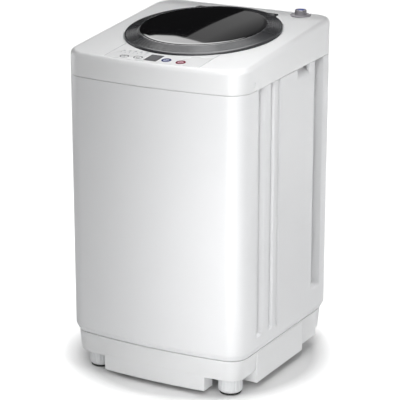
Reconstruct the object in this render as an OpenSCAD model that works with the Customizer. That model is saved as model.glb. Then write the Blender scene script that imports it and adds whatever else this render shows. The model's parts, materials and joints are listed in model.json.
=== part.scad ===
// Compact top load washing machine: a white moulded cabinet on a base frame with feet, a sloping
// top cover with a round lid and a touch panel, and a tub hung on four sprung rods.
// Millimetres, +Z up, the front faces -Y, the origin is on the floor under the middle.

/* [Cabinet] */
// Width across the flat sides
body_w = 430; // [426:1:436]
// Depth from the middle of the bowed front to the rear
body_d = 450; // [448:1:456]
// Radius of the two front corners
front_r = 46; // [44:1:48]
// Radius of the two rear corners
rear_r = 48; // [46:1:50]
// How far the front bows out between its corners
front_bow = 17; // [15:1:18]
// Thickness of the moulded walls
wall = 3; // [2.5:0.5:3.5]
// Height at which the cabinet sits on the base frame
cabinet_z = 88; // [86:1:90]
// Height of the joint between cabinet and top cover, at the front
seam_z0 = 664; // [661:1:667]
// Rise of that joint per millimetre towards the rear
seam_rise = 0.038; // [0.034:0.002:0.042]

/* [Top cover] */
// Height of the sloping deck at the front edge
deck_z0 = 714; // [712:1:716]
// Rise of the deck per millimetre towards the rear
deck_rise = 0.11; // [0.108:0.002:0.112]
// Where the deck turns level at the rear
level_y = 168; // [166:1:170]
// Inner radius of the loading mouth
mouth_r = 148; // [147:1:149]
// Radius of the seat that the lid rim drops into
seat_r = 172.5; // [172:0.5:174]

/* [Lid] */
// Centre of the lid along the deck
lid_y = 11.5; // [10.5:0.5:12.5]
// Outer radius of the lid ring
lid_r = 170.5; // [170:0.5:171]
// Radius of the window
window_r = 137; // [136:0.2:137.2]
// How far the lid opens, in degrees
lid_open = 80; // [60:5:80]

/* [Panel] */
// Half width of the panel film
panel_half_w = 115; // [112:1:118]
// Travel of the push buttons
button_travel = 1; // [0.5:0.5:1.5]

/* [Feet] */
// Radius of a foot
foot_r = 26.4; // [25:0.2:27]
// Distance of the front feet from the centre line
foot_x = 163; // [161:1:164]
// Distance of the front feet from the middle
foot_y = 160; // [158:1:162]
// Distance of the rear feet from the centre line and from the middle
rear_foot = 146; // [144:1:148]

/* [Tub and basket] */
// Outer radius of the tub
tub_r = 190; // [188:1:190]
// Underside of the tub
tub_z = 205; // [204:1:206]
// Top of the tub wall
tub_top = 590; // [586:1:592]
// Radius of the basket wall
basket_r = 169; // [168:0.5:169.5]
// Radius of the pulsator
pulsator_r = 84; // [80:1:88]

/* [Drive] */
// Belt radius on the large pulley
belt_r1 = 67; // [64:1:70]
// Belt radius on the motor pulley
belt_r2 = 17; // [16:1:20]

/* [Hidden] */
$fn = 72;

white = [0.93, 0.93, 0.94];
dark = [0.2, 0.2, 0.21];
steel = [0.75, 0.75, 0.77];
rubber = [0.08, 0.08, 0.08];

half_w = body_w / 2;
half_d = body_d / 2;
bow_r = (half_w * half_w + front_bow * front_bow) / (2 * front_bow);
bow_y = bow_r - half_d;
front_cy = bow_y - sqrt(pow(bow_r - front_r, 2) - pow(half_w - front_r, 2));
bow_a = atan2(bow_y - front_cy, half_w - front_r);
deck_tilt = atan(deck_rise);
deck_mid = deck_z0 + deck_rise * half_d;
level_z = deck_z0 + deck_rise * (level_y + half_d);
big = 1000;
base_z = 40;
base_in = 11;
// Half width of the front skirt, and where the side skirts step up
skirt_w = 125;
skirt_y = 97;
well_z = -17.5;
spout_z = 700;

// Side flutes: start, floor start, floor end and end along Y, depth, lowest height
flutes = [[-142, -134, -120.5, -111, 8, 125], [-87, -83, -72.5, -68.5, 6, 125],
  [-55, -52, -47.5, -44.5, 3, 121], [118.5, 129, 145, 160.5, 12, 150]];
handle_y = [33.5, 94];
handle_z = 653;
cap_at = [-162, 682];

hinge_y = 168.5;
hinge_z = -2.5;
hinge_x = 84;
pin_r = 1.5;
lug_w = 28;

tub_y = 8;
rod_c = 168;
rod_r = 3.5;
spring_z = [156, 246];
shaft_r = 7.95;
tube_r = 12.5;
motor_at = [-100, -52];
belt_z = 115;
belt_t = 3;
belt_w = 4.8;
inlet_at = [146, 185];
inlet_r = 13.2;
drain_at = [120, 124];
drain_r = 11;
cup_r = 19.5;
screw_r = 2;
level_tube_at = [-142, 194];
harness_at = [188, 190];

// Panel items: centre along the deck
display_at = [-5, -190];
display_size = [30, 38];
start_at = [27.2, -194];
power_at = [62.3, -196];
program_at = [-69.5, -201.2];
level_at = [-38, -198.4];
round_button_r = 10.6;
oval_size = [22, 16];
button_gap = 0.4;

function arc(c, r, a0, a1, n) = [for (i = [0:n]) let (a = a0 + (a1 - a0) * i / n)
  [c[0] + r * cos(a), c[1] + r * sin(a)]];

// The plan of the body, moved inwards by off
function outline(off = 0) = concat(
  arc([half_w - rear_r, half_d - rear_r], rear_r - off, 0, 90, 8),
  arc([rear_r - half_w, half_d - rear_r], rear_r - off, 90, 180, 8),
  arc([front_r - half_w, front_cy], front_r - off, 180, 180 + bow_a, 8),
  arc([0, bow_y], bow_r - off, 181 + bow_a, 359 - bow_a, 12),
  arc([half_w - front_r, front_cy], front_r - off, 360 - bow_a, 360, 8));

function deck_outline(off) = [for (p = outline(off)) [p[0], p[1] / cos(deck_tilt)]];

module body(off, z0, z1) translate([0, 0, z0]) linear_extrude(z1 - z0) polygon(outline(off));

// Everything over (up = 1) or under (up = -1) a plane that rises towards the rear
module side_of(z0, rise, up) translate([0, -half_d, z0]) rotate([atan(rise), 0, 0])
  translate([-big, -big, up > 0 ? 0 : -big]) cube([2 * big, 2 * big, big]);

module on_deck() translate([0, 0, deck_mid]) rotate([deck_tilt, 0, 0]) children();

module both_sides() {
  children();
  mirror([1, 0, 0]) children();
}

module box(lo, hi) translate(lo) cube(hi - lo);

module ring(r_in, r_out, z0, z1) translate([0, 0, z0]) difference() {
  cylinder(r = r_out, h = z1 - z0);
  translate([0, 0, -1]) cylinder(r = r_in, h = z1 - z0 + 2);
}

module turned(points) rotate_extrude() polygon(points);

module at_tub() translate([0, tub_y, 0]) children();

module at_rods() for (sx = [-1, 1], sy = [-1, 1]) translate([sx * rod_c, tub_y + sy * rod_c, 0])
  children();

// A round bar from one point to another
module bar(a, b, r) {
  d = b - a;
  l = norm(d);
  translate(a) rotate([0, acos(d[2] / l), atan2(d[1], d[0])]) cylinder(r = r, h = l);
}

// A hose through a list of points
module run(points, r) for (i = [0:len(points) - 2]) {
  bar(points[i], points[i + 1], r);
  if (i > 0) translate(points[i]) sphere(r = 1.04 * r);
}

module flute_cut(f, grow) translate([0, 0, f[5] - grow]) linear_extrude(big) polygon([
  [half_w + 10, f[0] - grow], [half_w, f[0] - grow], [half_w - f[4] - grow, f[1] - grow / 2],
  [half_w - f[4] - grow, f[2] + grow / 2], [half_w, f[3] + grow], [half_w + 10, f[3] + grow]]);

module flute_cuts(grow) both_sides() for (f = flutes) flute_cut(f, grow);

// The finger recess under the edge of the top cover, swept along Y
module handle_scoop(grow) both_sides() translate([0, handle_y[0] - grow, 0])
  translate([0, handle_y[1] - handle_y[0] + 2 * grow, 0]) rotate([90, 0, 0])
  linear_extrude(handle_y[1] - handle_y[0] + 2 * grow) polygon([
    [half_w + 5, handle_z - grow], [half_w, handle_z - grow],
    [half_w - 20 - grow, handle_z + 14 - grow], [half_w - 20 - grow, 720], [half_w + 5, 720]]);

module cabinet_skin() difference() {
  union() {
    body(5, cabinet_z, cabinet_z + 7);
    body(2, cabinet_z + 7, cabinet_z + 14);
    difference() {
      body(0, cabinet_z + 14, 700);
      flute_cuts(0);
    }
  }
  body(16, cabinet_z - 1, cabinet_z + 4);
  body(5 + wall, cabinet_z + wall, cabinet_z + 14.1);
  difference() {
    body(wall, cabinet_z + 14, 720);
    flute_cuts(wall);
  }
}

module cabinet() color(white) {
  cabinet_body();
  // tabs for the side screws of the top cover
  both_sides() box([half_w - wall - 4, -173, 640], [half_w - wall - 1, -151, 695]);
  both_sides() box([half_w - wall - 4, -173, 640], [half_w - 1, -151, 655]);
}

module cabinet_body() difference() {
  union() {
    cabinet_skin();
    // corner shelves that the tub rods hang from
    intersection() {
      body(wall / 2, 595, 600);
      for (sx = [-1, 1], sy = [-1, 1]) translate([sx * 190, tub_y + sy * 190, 590])
        cube([100, 100, 30], center = true);
    }
    // pockets behind the finger recesses
    intersection() {
      body(wall / 2, 620, 700);
      handle_scoop(2.5);
    }
    // ledge behind the rear panel
    box([-165, half_d - 6.2, 147], [165, half_d - 2.9, 614]);
  }
  side_of(seam_z0, seam_rise, 1);
  handle_scoop(0);
  at_rods() cylinder(r = 6, h = big);
  box([-150, half_d - 3, 154], [150, half_d + 1, 600]);
  box([-138, half_d - 10, 166], [138, half_d + 1, 588]);
  translate([drain_at[0], 180, drain_at[1]]) rotate([-90, 0, 0]) cylinder(r = cup_r, h = 60);
  rear_screws() cylinder(r = screw_r + 0.05, h = 20);
  // ways through the shelves for the level tube and the wiring
  translate([level_tube_at[0], level_tube_at[1], 590]) cylinder(r = 5.5, h = 20);
  translate([harness_at[0], harness_at[1], 590]) cylinder(r = 5, h = 20);
}

module rear_panel() color(steel) difference() {
  union() {
    box([-149.5, half_d - 2.9, 154.5], [149.5, half_d - 1.7, 599.5]);
    // two pressed stiffening fields
    for (z = [185, 390]) box([-110, half_d - 5.5, z], [110, half_d - 1.7, z + 150]);
  }
  for (z = [185, 390]) box([-108.5, half_d - 4.2, z + 1.5], [108.5, half_d + 1, z + 148.5]);
  rear_screws() cylinder(r = screw_r + 0.2, h = 20);
  translate([125, half_d - 20, 560]) rotate([-90, 0, 0]) cylinder(r = 7, h = 60);
}

module rear_screws() for (x = [-143.5, 143.5], z = [161, 305, 449, 593])
  translate([x, half_d - 8, z]) rotate([-90, 0, 0]) children();

module rear_panel_screws() color(steel) rear_screws() {
  cylinder(r = screw_r, h = 6.4);
  translate([0, 0, 6.35]) difference() {
    cylinder(r = 4, h = 1.5);
    translate([0, 0, 0.7]) cube([5, 1, 2], center = true);
  }
}

module skirts(grow) {
  intersection() {
    body(base_in + grow, 0, 60);
    union() {
      box([grow - skirt_w, -half_d, 9.5 - 2 * grow], [skirt_w - grow, -172 - grow, base_z + 1]);
      both_sides() {
        box([170 + grow, -118 + grow, 12.5 - 2 * grow], [half_w, skirt_y - grow, base_z + 1]);
        box([174.5 + grow, skirt_y - grow - 1, 27 - grow], [half_w, 178 - grow, base_z + 1]);
      }
    }
  }
}

module at_feet() {
  both_sides() translate([foot_x, -foot_y, 0]) children();
  both_sides() translate([rear_foot, rear_foot, 0]) children();
}

module base_frame() color(white) difference() {
  union() {
    body(base_in, base_z, cabinet_z);
    skirts(0);
  }
  difference() {
    body(22, base_z + 4, cabinet_z + 1);
    at_feet() cylinder(r = 13, h = 78);
    for (a = [0:45:179]) rotate(a) translate([-250, -1.5, 0]) cube([500, 3, 60]);
  }
  skirts(4);
  translate([0, 0, 30]) cylinder(r = 125, h = 80);
  at_feet() cylinder(r = 5.05, h = 100);
}

// A screw foot: a fluted grip with its threaded stud
module foot(x, y) color(white) translate([x, y, 0]) difference() {
  union() {
    translate([0, 0, 5]) cylinder(r = foot_r, h = base_z - 6);
    cylinder(r = 5, h = 72);
  }
  for (a = [0:20:359]) rotate(a) translate([foot_r + 1.4, 0, 9]) cylinder(r = 2.4, h = 60);
  translate([0, 0, -1]) cylinder(r = 18, h = 9);
}

module foot_pad(x, y) color(rubber) translate([x, y, 0]) {
  cylinder(r1 = foot_r - 3.5, r2 = foot_r - 2, h = 5);
  cylinder(r = 17.9, h = 8);
}

module foot_front_left() foot(-foot_x, -foot_y);
module foot_front_right() foot(foot_x, -foot_y);
module foot_pad_front_left() foot_pad(-foot_x, -foot_y);
module foot_pad_front_right() foot_pad(foot_x, -foot_y);
module rear_feet() both_sides() foot(rear_foot, rear_foot);
module rear_foot_pads() both_sides() foot_pad(rear_foot, rear_foot);

// The cover's outside in slices, each inset and lower than the last: [inset, drop]
round_steps = [[0, 10], [1.4, 5], [4, 2], [9.5, 0]];

module cover_block() for (s = round_steps) difference() {
  body(s[0], 600, level_z - s[1]);
  side_of(deck_z0 - s[1], deck_rise, 1);
}

module cover_hollow() {
  difference() {
    body(wall, 599, level_z - 12);
    side_of(deck_z0 - 12, deck_rise, 1);
  }
  difference() {
    body(11, 599, level_z - wall);
    side_of(deck_z0 - wall, deck_rise, 1);
  }
}

// The space that the rear of the lid swings down into
module lid_well(grow, z0) translate([0, 0, z0]) linear_extrude(20) {
  intersection() {
    for (y = [lid_y, lid_y + 1.5]) translate([0, y]) circle(r = seat_r + grow);
    translate([-100 - grow, hinge_y - 18 - grow]) square([200 + 2 * grow, 60]);
  }
  for (sx = [-1, 1]) translate([sx * 77.5 - 22.5 - grow, hinge_y - 20 - grow])
    square([45 + 2 * grow, 28.5 + 2 * grow]);
}

module panel_holes(gap) {
  for (p = [start_at, power_at]) translate(p) circle(r = round_button_r + gap);
  for (p = [program_at, level_at]) translate(p) oval(gap);
}

module oval(gap) {
  r = oval_size[1] / 2;
  x = oval_size[0] / 2 - r;
  for (s = [-1, 1]) translate([s * x, 0]) circle(r = r + gap);
  square([2 * x, 2 * (r + gap)], center = true);
}

module top_cover() color(white) difference() {
  union() {
    difference() {
      cover_block();
      cover_hollow();
      side_of(seam_z0 + 0.6, seam_rise, -1);
    }
    difference() {
      translate([0, lid_y, 628]) cylinder(r = mouth_r + wall, h = 140);
      side_of(deck_z0 - 2, deck_rise, 1);
    }
    on_deck() {
      translate([0, lid_y, -6]) cylinder(r = seat_r + wall, h = 5);
      intersection() {
        lid_well(wall, well_z - wall);
        translate([-big, -big, well_z - wall]) cube([2 * big, 2 * big, 19]);
      }
      both_sides() box([100, hinge_y - 8, -10], [114, hinge_y + 6, -1]);
    }
    // roofs over the finger recesses
    both_sides() box([190, handle_y[0] - 4, 686], [half_w - 1, handle_y[1] + 4, 689]);
  }
  cover_openings();
}

module cover_openings() {
  translate([0, lid_y, 600]) cylinder(r = mouth_r, h = 300);
  on_deck() {
    translate([0, lid_y, -3]) cylinder(r = seat_r, h = 30);
    lid_well(0, well_z);
    both_sides() translate([95, hinge_y, hinge_z]) rotate([0, 90, 0]) cylinder(r = pin_r, h = 17);
    translate([0, 0, -10]) linear_extrude(30) {
      panel_holes(button_gap);
      translate(display_at) square(display_size - [4, 4], center = true);
      led_marks(0.1);
    }
  }
  translate([inlet_at[0], inlet_at[1], 700]) cylinder(r = 12.2, h = 100);
  both_sides() translate([half_w - 12, cap_at[0], cap_at[1]]) rotate([0, 90, 0])
    cylinder(r = 6, h = 30);
  translate([0, lid_y, spout_z]) rotate([0, 0, 46]) translate([mouth_r - 8, 0, 0])
    rotate([0, 90, 0]) cylinder(r = 7, h = 20);
}

module led_marks(gap) {
  for (i = [0:6]) translate([-92 + i * 9.6, -180.3 + i * 0.55]) circle(r = 1 + gap, $fn = 16);
  for (i = [0:4]) translate([-90 + i * 13.5, -169.2 + i * 0.75])
    square([7 + 2 * gap, 2.6 + 2 * gap], center = true);
}

module panel_film() color([0.9, 0.9, 0.91]) on_deck() linear_extrude(0.6) difference() {
  intersection() {
    polygon(deck_outline(10));
    translate([-panel_half_w, -250]) square([2 * panel_half_w, 190]);
  }
  translate([0, lid_y]) circle(r = seat_r + 1);
  panel_holes(button_gap);
  translate(display_at) square(display_size + [0.2, 0.2], center = true);
  led_marks(0.1);
}

module display_window() color([0.05, 0.05, 0.06]) on_deck() translate(display_at) {
  linear_extrude(0.9) square(display_size, center = true);
  translate([0, 0, -3]) linear_extrude(3.1) square(display_size - [4.2, 4.2], center = true);
}

module led_lenses() color([0.6, 0.65, 0.7]) on_deck() translate([0, 0, -3])
  linear_extrude(3.8) led_marks(0);

module button_stem(p) translate([p[0], p[1], -9.5]) cylinder(r = 3, h = 5);

module button_start() color([0.25, 0.35, 0.7]) on_deck() {
  translate([start_at[0], start_at[1], -5]) cylinder(r = round_button_r, h = 6.4);
  button_stem(start_at);
}

module button_power() color([0.6, 0.15, 0.25]) on_deck() {
  translate([power_at[0], power_at[1], -5]) cylinder(r = round_button_r, h = 6.4);
  button_stem(power_at);
}

module oval_button(p) color([0.88, 0.88, 0.89]) on_deck() {
  translate([p[0], p[1], -5]) linear_extrude(6.2) oval(0);
  button_stem(p);
}

module button_program() oval_button(program_at);
module button_water_level() oval_button(level_at);

module control_box() color([0.3, 0.3, 0.32]) on_deck() difference() {
  box([-112, -207, -38], [112, -168, -13.5]);
  box([-110, -205, -36], [110, -170, -8]);
}

module control_board() color([0.1, 0.35, 0.2]) on_deck() {
  box([-109.5, -204.5, -15.2], [109.5, -182, -13.6]);
  // switches under the buttons and the larger parts below the board
  for (p = [start_at, power_at, program_at, level_at]) translate([p[0], p[1], -13.7])
    cylinder(r = 2.5, h = 3.1);
  box([-90, -200, -30], [-66, -186, -15.1]);
  box([20, -200, -26], [48, -186, -15.1]);
  for (x = [62, 78, 94]) translate([x, -193, -29]) cylinder(r = 5, h = 14);
}

module lid_hinge_pins() color(steel) on_deck() both_sides()
  translate([hinge_x - 10, hinge_y, hinge_z]) rotate([0, 90, 0]) cylinder(r = pin_r, h = 37);

module side_screw_caps() color(white) both_sides()
  translate([half_w - 3.9, cap_at[0], cap_at[1]]) rotate([0, 90, 0]) cylinder(r = 5.9, h = 3.7);

module inlet_connector() color([0.62, 0.6, 0.63]) translate([inlet_at[0], inlet_at[1], 0])
  turned([[9.5, 728], [12, 728], [12, level_z], [22.5, level_z], [22.5, level_z + 2.6],
    [21.5, level_z + 3.4], [14.4, level_z + 3.4], [14.4, level_z + 4.4],
    [inlet_r, level_z + 4.4], [inlet_r, level_z + 13.2], [12.4, level_z + 14],
    [9.5, level_z + 14]]);

module inlet_filter() color([0.15, 0.25, 0.7]) translate([inlet_at[0], inlet_at[1], 0]) {
  ring(6.6, 9.4, level_z + 2, level_z + 12.6);
  translate([0, 0, level_z + 10.6]) cylinder(r = 7, h = 1.2);
}

module inlet_valve() color([0.85, 0.85, 0.86]) translate([inlet_at[0], inlet_at[1], 0]) {
  ring(8, 15, 714, 727.9);
  box([-20, -16, 694], [20, 16, 714.1]);
  translate([-8, -34, spout_z]) rotate([-90, 0, 0]) cylinder(r = 5.5, h = 20);
  translate([10, 0, 678]) cylinder(r = 11, h = 17);
}

module inlet_hose() color(rubber) difference() {
  run([[138, 150, spout_z], [138, 138, spout_z], [116.5, 128.5, spout_z]], 8);
  translate([138, 140, spout_z]) rotate([-90, 0, 0]) cylinder(r = 5.55, h = 20);
}

// Nozzle through the wall of the loading mouth, where the water enters
module water_spout() color(dark) difference() {
  translate([0, lid_y, spout_z]) rotate([0, 0, 46]) translate([mouth_r + wall + 0.1, 0, 0])
    rotate([0, 90, 0]) cylinder(r = 12, h = 7);
  translate([0, lid_y, spout_z]) rotate([0, 0, 46]) translate([mouth_r, 0, 0])
    rotate([0, 90, 0]) cylinder(r = 7, h = 40);
}

module pressure_sensor() color([0.85, 0.85, 0.86]) translate([-142, 176, 0]) {
  translate([0, 0, 716]) cylinder(r = 25, h = 16);
  translate([0, 0, 732]) cylinder(r = 10, h = 8);
  translate([0, 18, 704]) cylinder(r = 2.6, h = 13);
}

module pressure_tube() color([0.2, 0.2, 0.2]) difference() {
  run([[level_tube_at[0], level_tube_at[1], 707], [level_tube_at[0], level_tube_at[1], 300],
    [-133, 176, 262]], 4);
  run([[level_tube_at[0], level_tube_at[1], 710], [level_tube_at[0], level_tube_at[1], 300],
    [-132, 174, 258]], 2.65);
}

module wiring_harness() color([0.12, 0.12, 0.13]) {
  run([[124, -166, 696], [186, -100, 688], [186, 150, 700],
    [harness_at[0], harness_at[1], 650], [harness_at[0], harness_at[1], 112]], 3.5);
}

module capacitor() color([0.8, 0.8, 0.82]) translate([85, -150, 0]) {
  translate([0, 0, base_z + 4.1]) cylinder(r = 19, h = 68);
  for (x = [-7, 7]) translate([x, 0, 111]) cylinder(r = 2, h = 8);
}

module suspension_rods() color(steel) at_rods() {
  translate([0, 0, 149]) cylinder(r = rod_r, h = 464);
  translate([0, 0, 612]) cylinder(r = 6.5, h = 4);
  translate([0, 0, spring_z[0] - 6]) cylinder(r = 13, h = 6);
}

module rod_ball_seats() color([0.9, 0.88, 0.8]) at_rods() translate([0, 0, 600]) difference() {
  union() {
    cylinder(r = 14, h = 4);
    cylinder(r1 = 12, r2 = 8, h = 12);
  }
  translate([0, 0, -1]) cylinder(r = rod_r + 0.3, h = 20);
}

module suspension_springs() color(steel) at_rods()
  ring(rod_r + 1.5, 10.5, spring_z[0], spring_z[1]);

module drain_outlet() color([0.75, 0.75, 0.77]) translate([drain_at[0], 0, drain_at[1]])
  rotate([-90, 0, 0]) turned([[8.5, 195], [drain_r, 195], [drain_r, 203], [cup_r + 2, 203],
    [cup_r + 2, half_d - wall], [cup_r, half_d - wall], [cup_r, 206], [drain_r, 206],
    [drain_r, half_d - 0.2], [8.5, half_d - 0.2]]);

// Rubber bush in the rear panel, where the supply lead would enter
module cord_gland() color(rubber) translate([125, 0, 560]) rotate([-90, 0, 0])
  turned([[4, half_d - 7], [9.5, half_d - 7], [9.5, half_d - 3], [6.9, half_d - 3],
    [6.9, half_d - 1.6], [9.5, half_d - 1.6], [9, half_d - 0.2], [4, half_d - 0.2]]);

// Lid ring as a thin cone with a rim that drops into the seat and a lip inside the mouth
module lid_ring() color(dark) on_deck() {
  translate([0, lid_y, 0]) turned([[lid_r, -1.5], [lid_r, 3.6], [lid_r - 2, 5], [137.4, 11.8],
    [137.4, 9.2], [129.4, 9.2], [129.4, 7], [142.2, 6.6], [142.2, -6], [144.6, -6],
    [144.6, 7.3], [lid_r - 2.8, 2.4], [lid_r - 2.8, -1.5]]);
  both_sides() translate([hinge_x - lug_w / 2, 0, 0]) difference() {
    union() {
      rotate([90, 0, 90]) linear_extrude(lug_w) polygon([[hinge_y - 18, -6.5],
        [hinge_y, -7.5], [hinge_y + 1, hinge_z], [hinge_y, 3.5], [hinge_y - 14, 5],
        [hinge_y - 18, 5]]);
      translate([0, hinge_y, hinge_z]) rotate([0, 90, 0]) cylinder(r = 5, h = lug_w);
    }
    translate([-1, hinge_y, hinge_z]) rotate([0, 90, 0]) cylinder(r = pin_r + 0.05, h = lug_w + 2);
  }
}

module lid_window() color([0.12, 0.12, 0.13]) on_deck() translate([0, lid_y, 0])
  turned([[0, 12.6], [60, 12.2], [100, 11], [126, 9.4], [window_r, 9.25], [window_r, 11.8],
    [134.5, 13], [100, 14.4], [60, 15.3], [0, 15.8]]);

module outer_tub() color([0.88, 0.88, 0.88]) at_tub() difference() {
  union() {
    turned([[30.1, tub_z], [tub_r, tub_z], [tub_r, tub_top], [tub_r - 2.5, tub_top],
      [tub_r - 2.5, tub_z + 3], [30.1, tub_z + 3]]);
    // lugs that sit on the springs
    for (a = [45:90:359]) rotate(a) {
      box([tub_r - 2, -12, spring_z[1]], [rod_c * sqrt(2), 12, spring_z[1] + 12]);
      box([tub_r - 2, -2, spring_z[1] + 11], [rod_c * sqrt(2) - 14, 2, spring_z[1] + 52]);
      translate([rod_c * sqrt(2), 0, spring_z[1]]) cylinder(r = 12, h = 12);
    }
    // air chamber of the level sensor
    translate([-124, 138, 222]) cylinder(r = 9, h = 30);
  }
  for (a = [45:90:359]) rotate(a) translate([rod_c * sqrt(2), 0, 0])
    cylinder(r = rod_r + 0.5, h = 400);
  translate([95, 102, tub_z - 1]) cylinder(r = 13, h = 6);
}

module tub_ring() color([0.88, 0.88, 0.88]) at_tub()
  turned([[150, 594], [152.6, 594], [152.6, 602], [tub_r - 4, 602], [tub_r - 4, tub_top],
    [tub_r + 0.1, tub_top], [tub_r + 0.1, 580], [tub_r + 2.6, 580], [tub_r + 2.6, 606],
    [150, 606]]);

module bearing_housing() color([0.7, 0.7, 0.72]) at_tub()
  turned([[45, 130], [45, 194], [60, 199], [70, 199], [70, tub_z], [30, tub_z], [30, 214], [24, 214],
    [24, 204], [26, 204], [26, 188], [20, 188], [20, 150], [26, 150], [26, 134], [20, 134],
    [20, 130]]);

module shaft_bearings() color(steel) at_tub() for (z = [134, 188])
  ring(tube_r + 0.05, 26, z, z + 15);

module shaft_seal() color(rubber) at_tub() ring(tube_r + 0.05, 24, 204, 213);

module motor() color([0.55, 0.56, 0.58]) translate([motor_at[0], motor_at[1], 0]) difference() {
  union() {
    translate([0, 0, 138]) cylinder(r = 50, h = 54);
    translate([0, 0, 130]) cylinder(r = 30, h = 68);
    for (a = [45:90:359]) rotate(a) translate([50, 0, 180]) cylinder(r = 7, h = 18);
  }
  translate([0, 0, 120]) cylinder(r = 6.05, h = 60);
}

module motor_bracket() color(steel) difference() {
  translate([motor_at[0], motor_at[1], 198]) {
    translate([-62, -62, 0]) cube([124, 124, 3]);
    for (sx = [-1, 1], sy = [-1, 1]) translate([sx * 50, sy * 50, 2]) cylinder(r = 7, h = 5);
  }
  at_tub() translate([0, 0, 190]) cylinder(r = 71, h = 30);
}

function belt_path(g) = let (
  d = motor_at - [0, tub_y],
  away = atan2(d[1], d[0]),
  wrap = acos((belt_r1 - belt_r2) / norm(d)))
  concat(arc([0, tub_y], belt_r1 + g, away + wrap, away + 360 - wrap, 28),
    arc(motor_at, belt_r2 + g, away - wrap, away + wrap, 12));

module drive_belt() color(rubber) translate([0, 0, belt_z - belt_w / 2])
  linear_extrude(belt_w) difference() {
    polygon(belt_path(belt_t / 2));
    polygon(belt_path(-belt_t / 2));
  }

// A grooved pulley for the belt at radius r, with a hub of radius h on a shaft of radius s
module pulley(r, h, s) turned([[s, belt_z - 10], [h, belt_z - 10], [h, belt_z - 7],
  [r + 3, belt_z - 7], [r + 3, belt_z - 5], [r - 4, belt_z - 1.5], [r - 4, belt_z + 1.5],
  [r + 3, belt_z + 5], [r + 3, belt_z + 7], [h, belt_z + 7], [h, belt_z + 10],
  [s, belt_z + 10]]);

module drive_pulley() color([0.6, 0.6, 0.62]) at_tub() difference() {
  pulley(belt_r1, 15, shaft_r);
  for (a = [0:60:359]) rotate(a) translate([40, 0, 100]) cylinder(r = 14, h = 40);
}

module motor_pulley() color([0.6, 0.6, 0.62]) translate([motor_at[0], motor_at[1], 0])
  pulley(belt_r2, 9, 6);

module motor_shaft() color(steel) translate([motor_at[0], motor_at[1], 103])
  cylinder(r = 6, h = 60);

module drain_valve() color([0.8, 0.8, 0.82]) translate([95, tub_y + 102, 0]) difference() {
  union() {
    translate([0, 0, 150]) cylinder(r = 22, h = 38);
    translate([0, 0, 186]) cylinder(r = 16, h = 19);
    translate([0, 18, 168]) rotate([-90, 0, 0]) cylinder(r = 9, h = 22);
  }
  translate([0, 0, 155]) cylinder(r = 12.9, h = 60);
  translate([0, 10, 168]) rotate([-90, 0, 0]) cylinder(r = 7, h = 40);
}

module drain_actuator() color([0.3, 0.3, 0.32]) {
  box([22, 92, 158], [58, 126, 190]);
  bar([57.9, 110, 168], [73.2, 110, 168], 3);
}

module drain_hose() color(rubber) difference() {
  run([[95, 142, 168], [95, 164, 168], [drain_at[0], 177, drain_at[1]],
    [drain_at[0], 194.5, drain_at[1]]], 11);
  translate([95, 130, 168]) rotate([-90, 0, 0]) cylinder(r = 9.05, h = 34);
}

module spin_basket() color(steel) at_tub() difference() {
  ring(basket_r - 1, basket_r, 240, 557);
  for (z = [270:36:530], a = [0:30:359]) rotate(a + (z % 72 == 0 ? 15 : 0))
    translate([basket_r - 5, 0, z]) rotate([0, 90, 0]) cylinder(r = 3, h = 10);
}

module basket_base() color([0.9, 0.9, 0.9]) at_tub()
  turned([[tube_r, 216], [26, 216], [26, 222], [basket_r - 4, 222], [basket_r + 1.5, 228],
    [basket_r + 1.5, 248], [basket_r, 248], [basket_r, 240], [basket_r - 5, 240],
    [basket_r - 9, 228], [tube_r, 228]]);

module balance_ring() color([0.9, 0.9, 0.9]) at_tub()
  turned([[141, 562], [141, 581], [145, 586], [167, 586], [basket_r + 2, 581],
    [basket_r + 2, 546], [basket_r, 546], [basket_r, 557], [146, 557]]);

module spin_tube() color(steel) at_tub() ring(shaft_r + 0.05, tube_r, 129, 228);

module lint_filter() color([0.35, 0.5, 0.75]) at_tub() rotate([0, 0, 90])
  box([basket_r - 14, -28, 380], [basket_r - 4, 28, 470]);

module pulsator() color([0.82, 0.84, 0.88]) at_tub() difference() {
  union() {
    turned([[shaft_r, 231], [pulsator_r - 6, 231], [pulsator_r, 236], [pulsator_r - 1, 239],
      [40, 242], [24, 250], [shaft_r, 252]]);
    for (a = [0:60:359]) rotate(a) translate([18, -5, 236])
      intersection() {
        cube([pulsator_r - 22, 10, 20]);
        translate([0, 5, -2]) rotate([0, 90, 0]) cylinder(r = 14, h = 100);
      }
  }
  cylinder(r = shaft_r, h = 400);
}

module pulsator_screw() color(steel) at_tub() {
  translate([0, 0, 252]) cylinder(r = 13, h = 4);
  translate([0, 0, 256]) cylinder(r = 6, h = 4, $fn = 6);
}

module wash_shaft() color(steel) at_tub() translate([0, 0, 104]) cylinder(r = shaft_r, h = 148);

cabinet();
rear_panel();
rear_panel_screws();
base_frame();
top_cover();
panel_film();
display_window();
led_lenses();
control_box();
control_board();
lid_hinge_pins();
side_screw_caps();
inlet_connector();
inlet_filter();
inlet_valve();
inlet_hose();
water_spout();
pressure_sensor();
pressure_tube();
wiring_harness();
capacitor();
suspension_rods();
rod_ball_seats();
suspension_springs();
drain_outlet();
cord_gland();
rear_feet();
rear_foot_pads();
foot_front_left();
foot_front_right();
foot_pad_front_left();
foot_pad_front_right();
lid_ring();
lid_window();
button_program();
button_water_level();
button_start();
button_power();
outer_tub();
tub_ring();
bearing_housing();
shaft_bearings();
shaft_seal();
motor();
motor_bracket();
drive_belt();
drain_valve();
drain_actuator();
drain_hose();
spin_basket();
basket_base();
balance_ring();
spin_tube();
lint_filter();
pulsator();
pulsator_screw();
wash_shaft();
drive_pulley();
motor_shaft();
motor_pulley();
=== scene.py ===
"""The looks of a compact top load washing machine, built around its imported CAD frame.

Shapes are worked out in millimetres in the frame's axes: +Z up, the front faces -Y.
"""

import json
import math

import bmesh
import bpy
import numpy as np
from mathutils import Matrix, Vector


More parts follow.
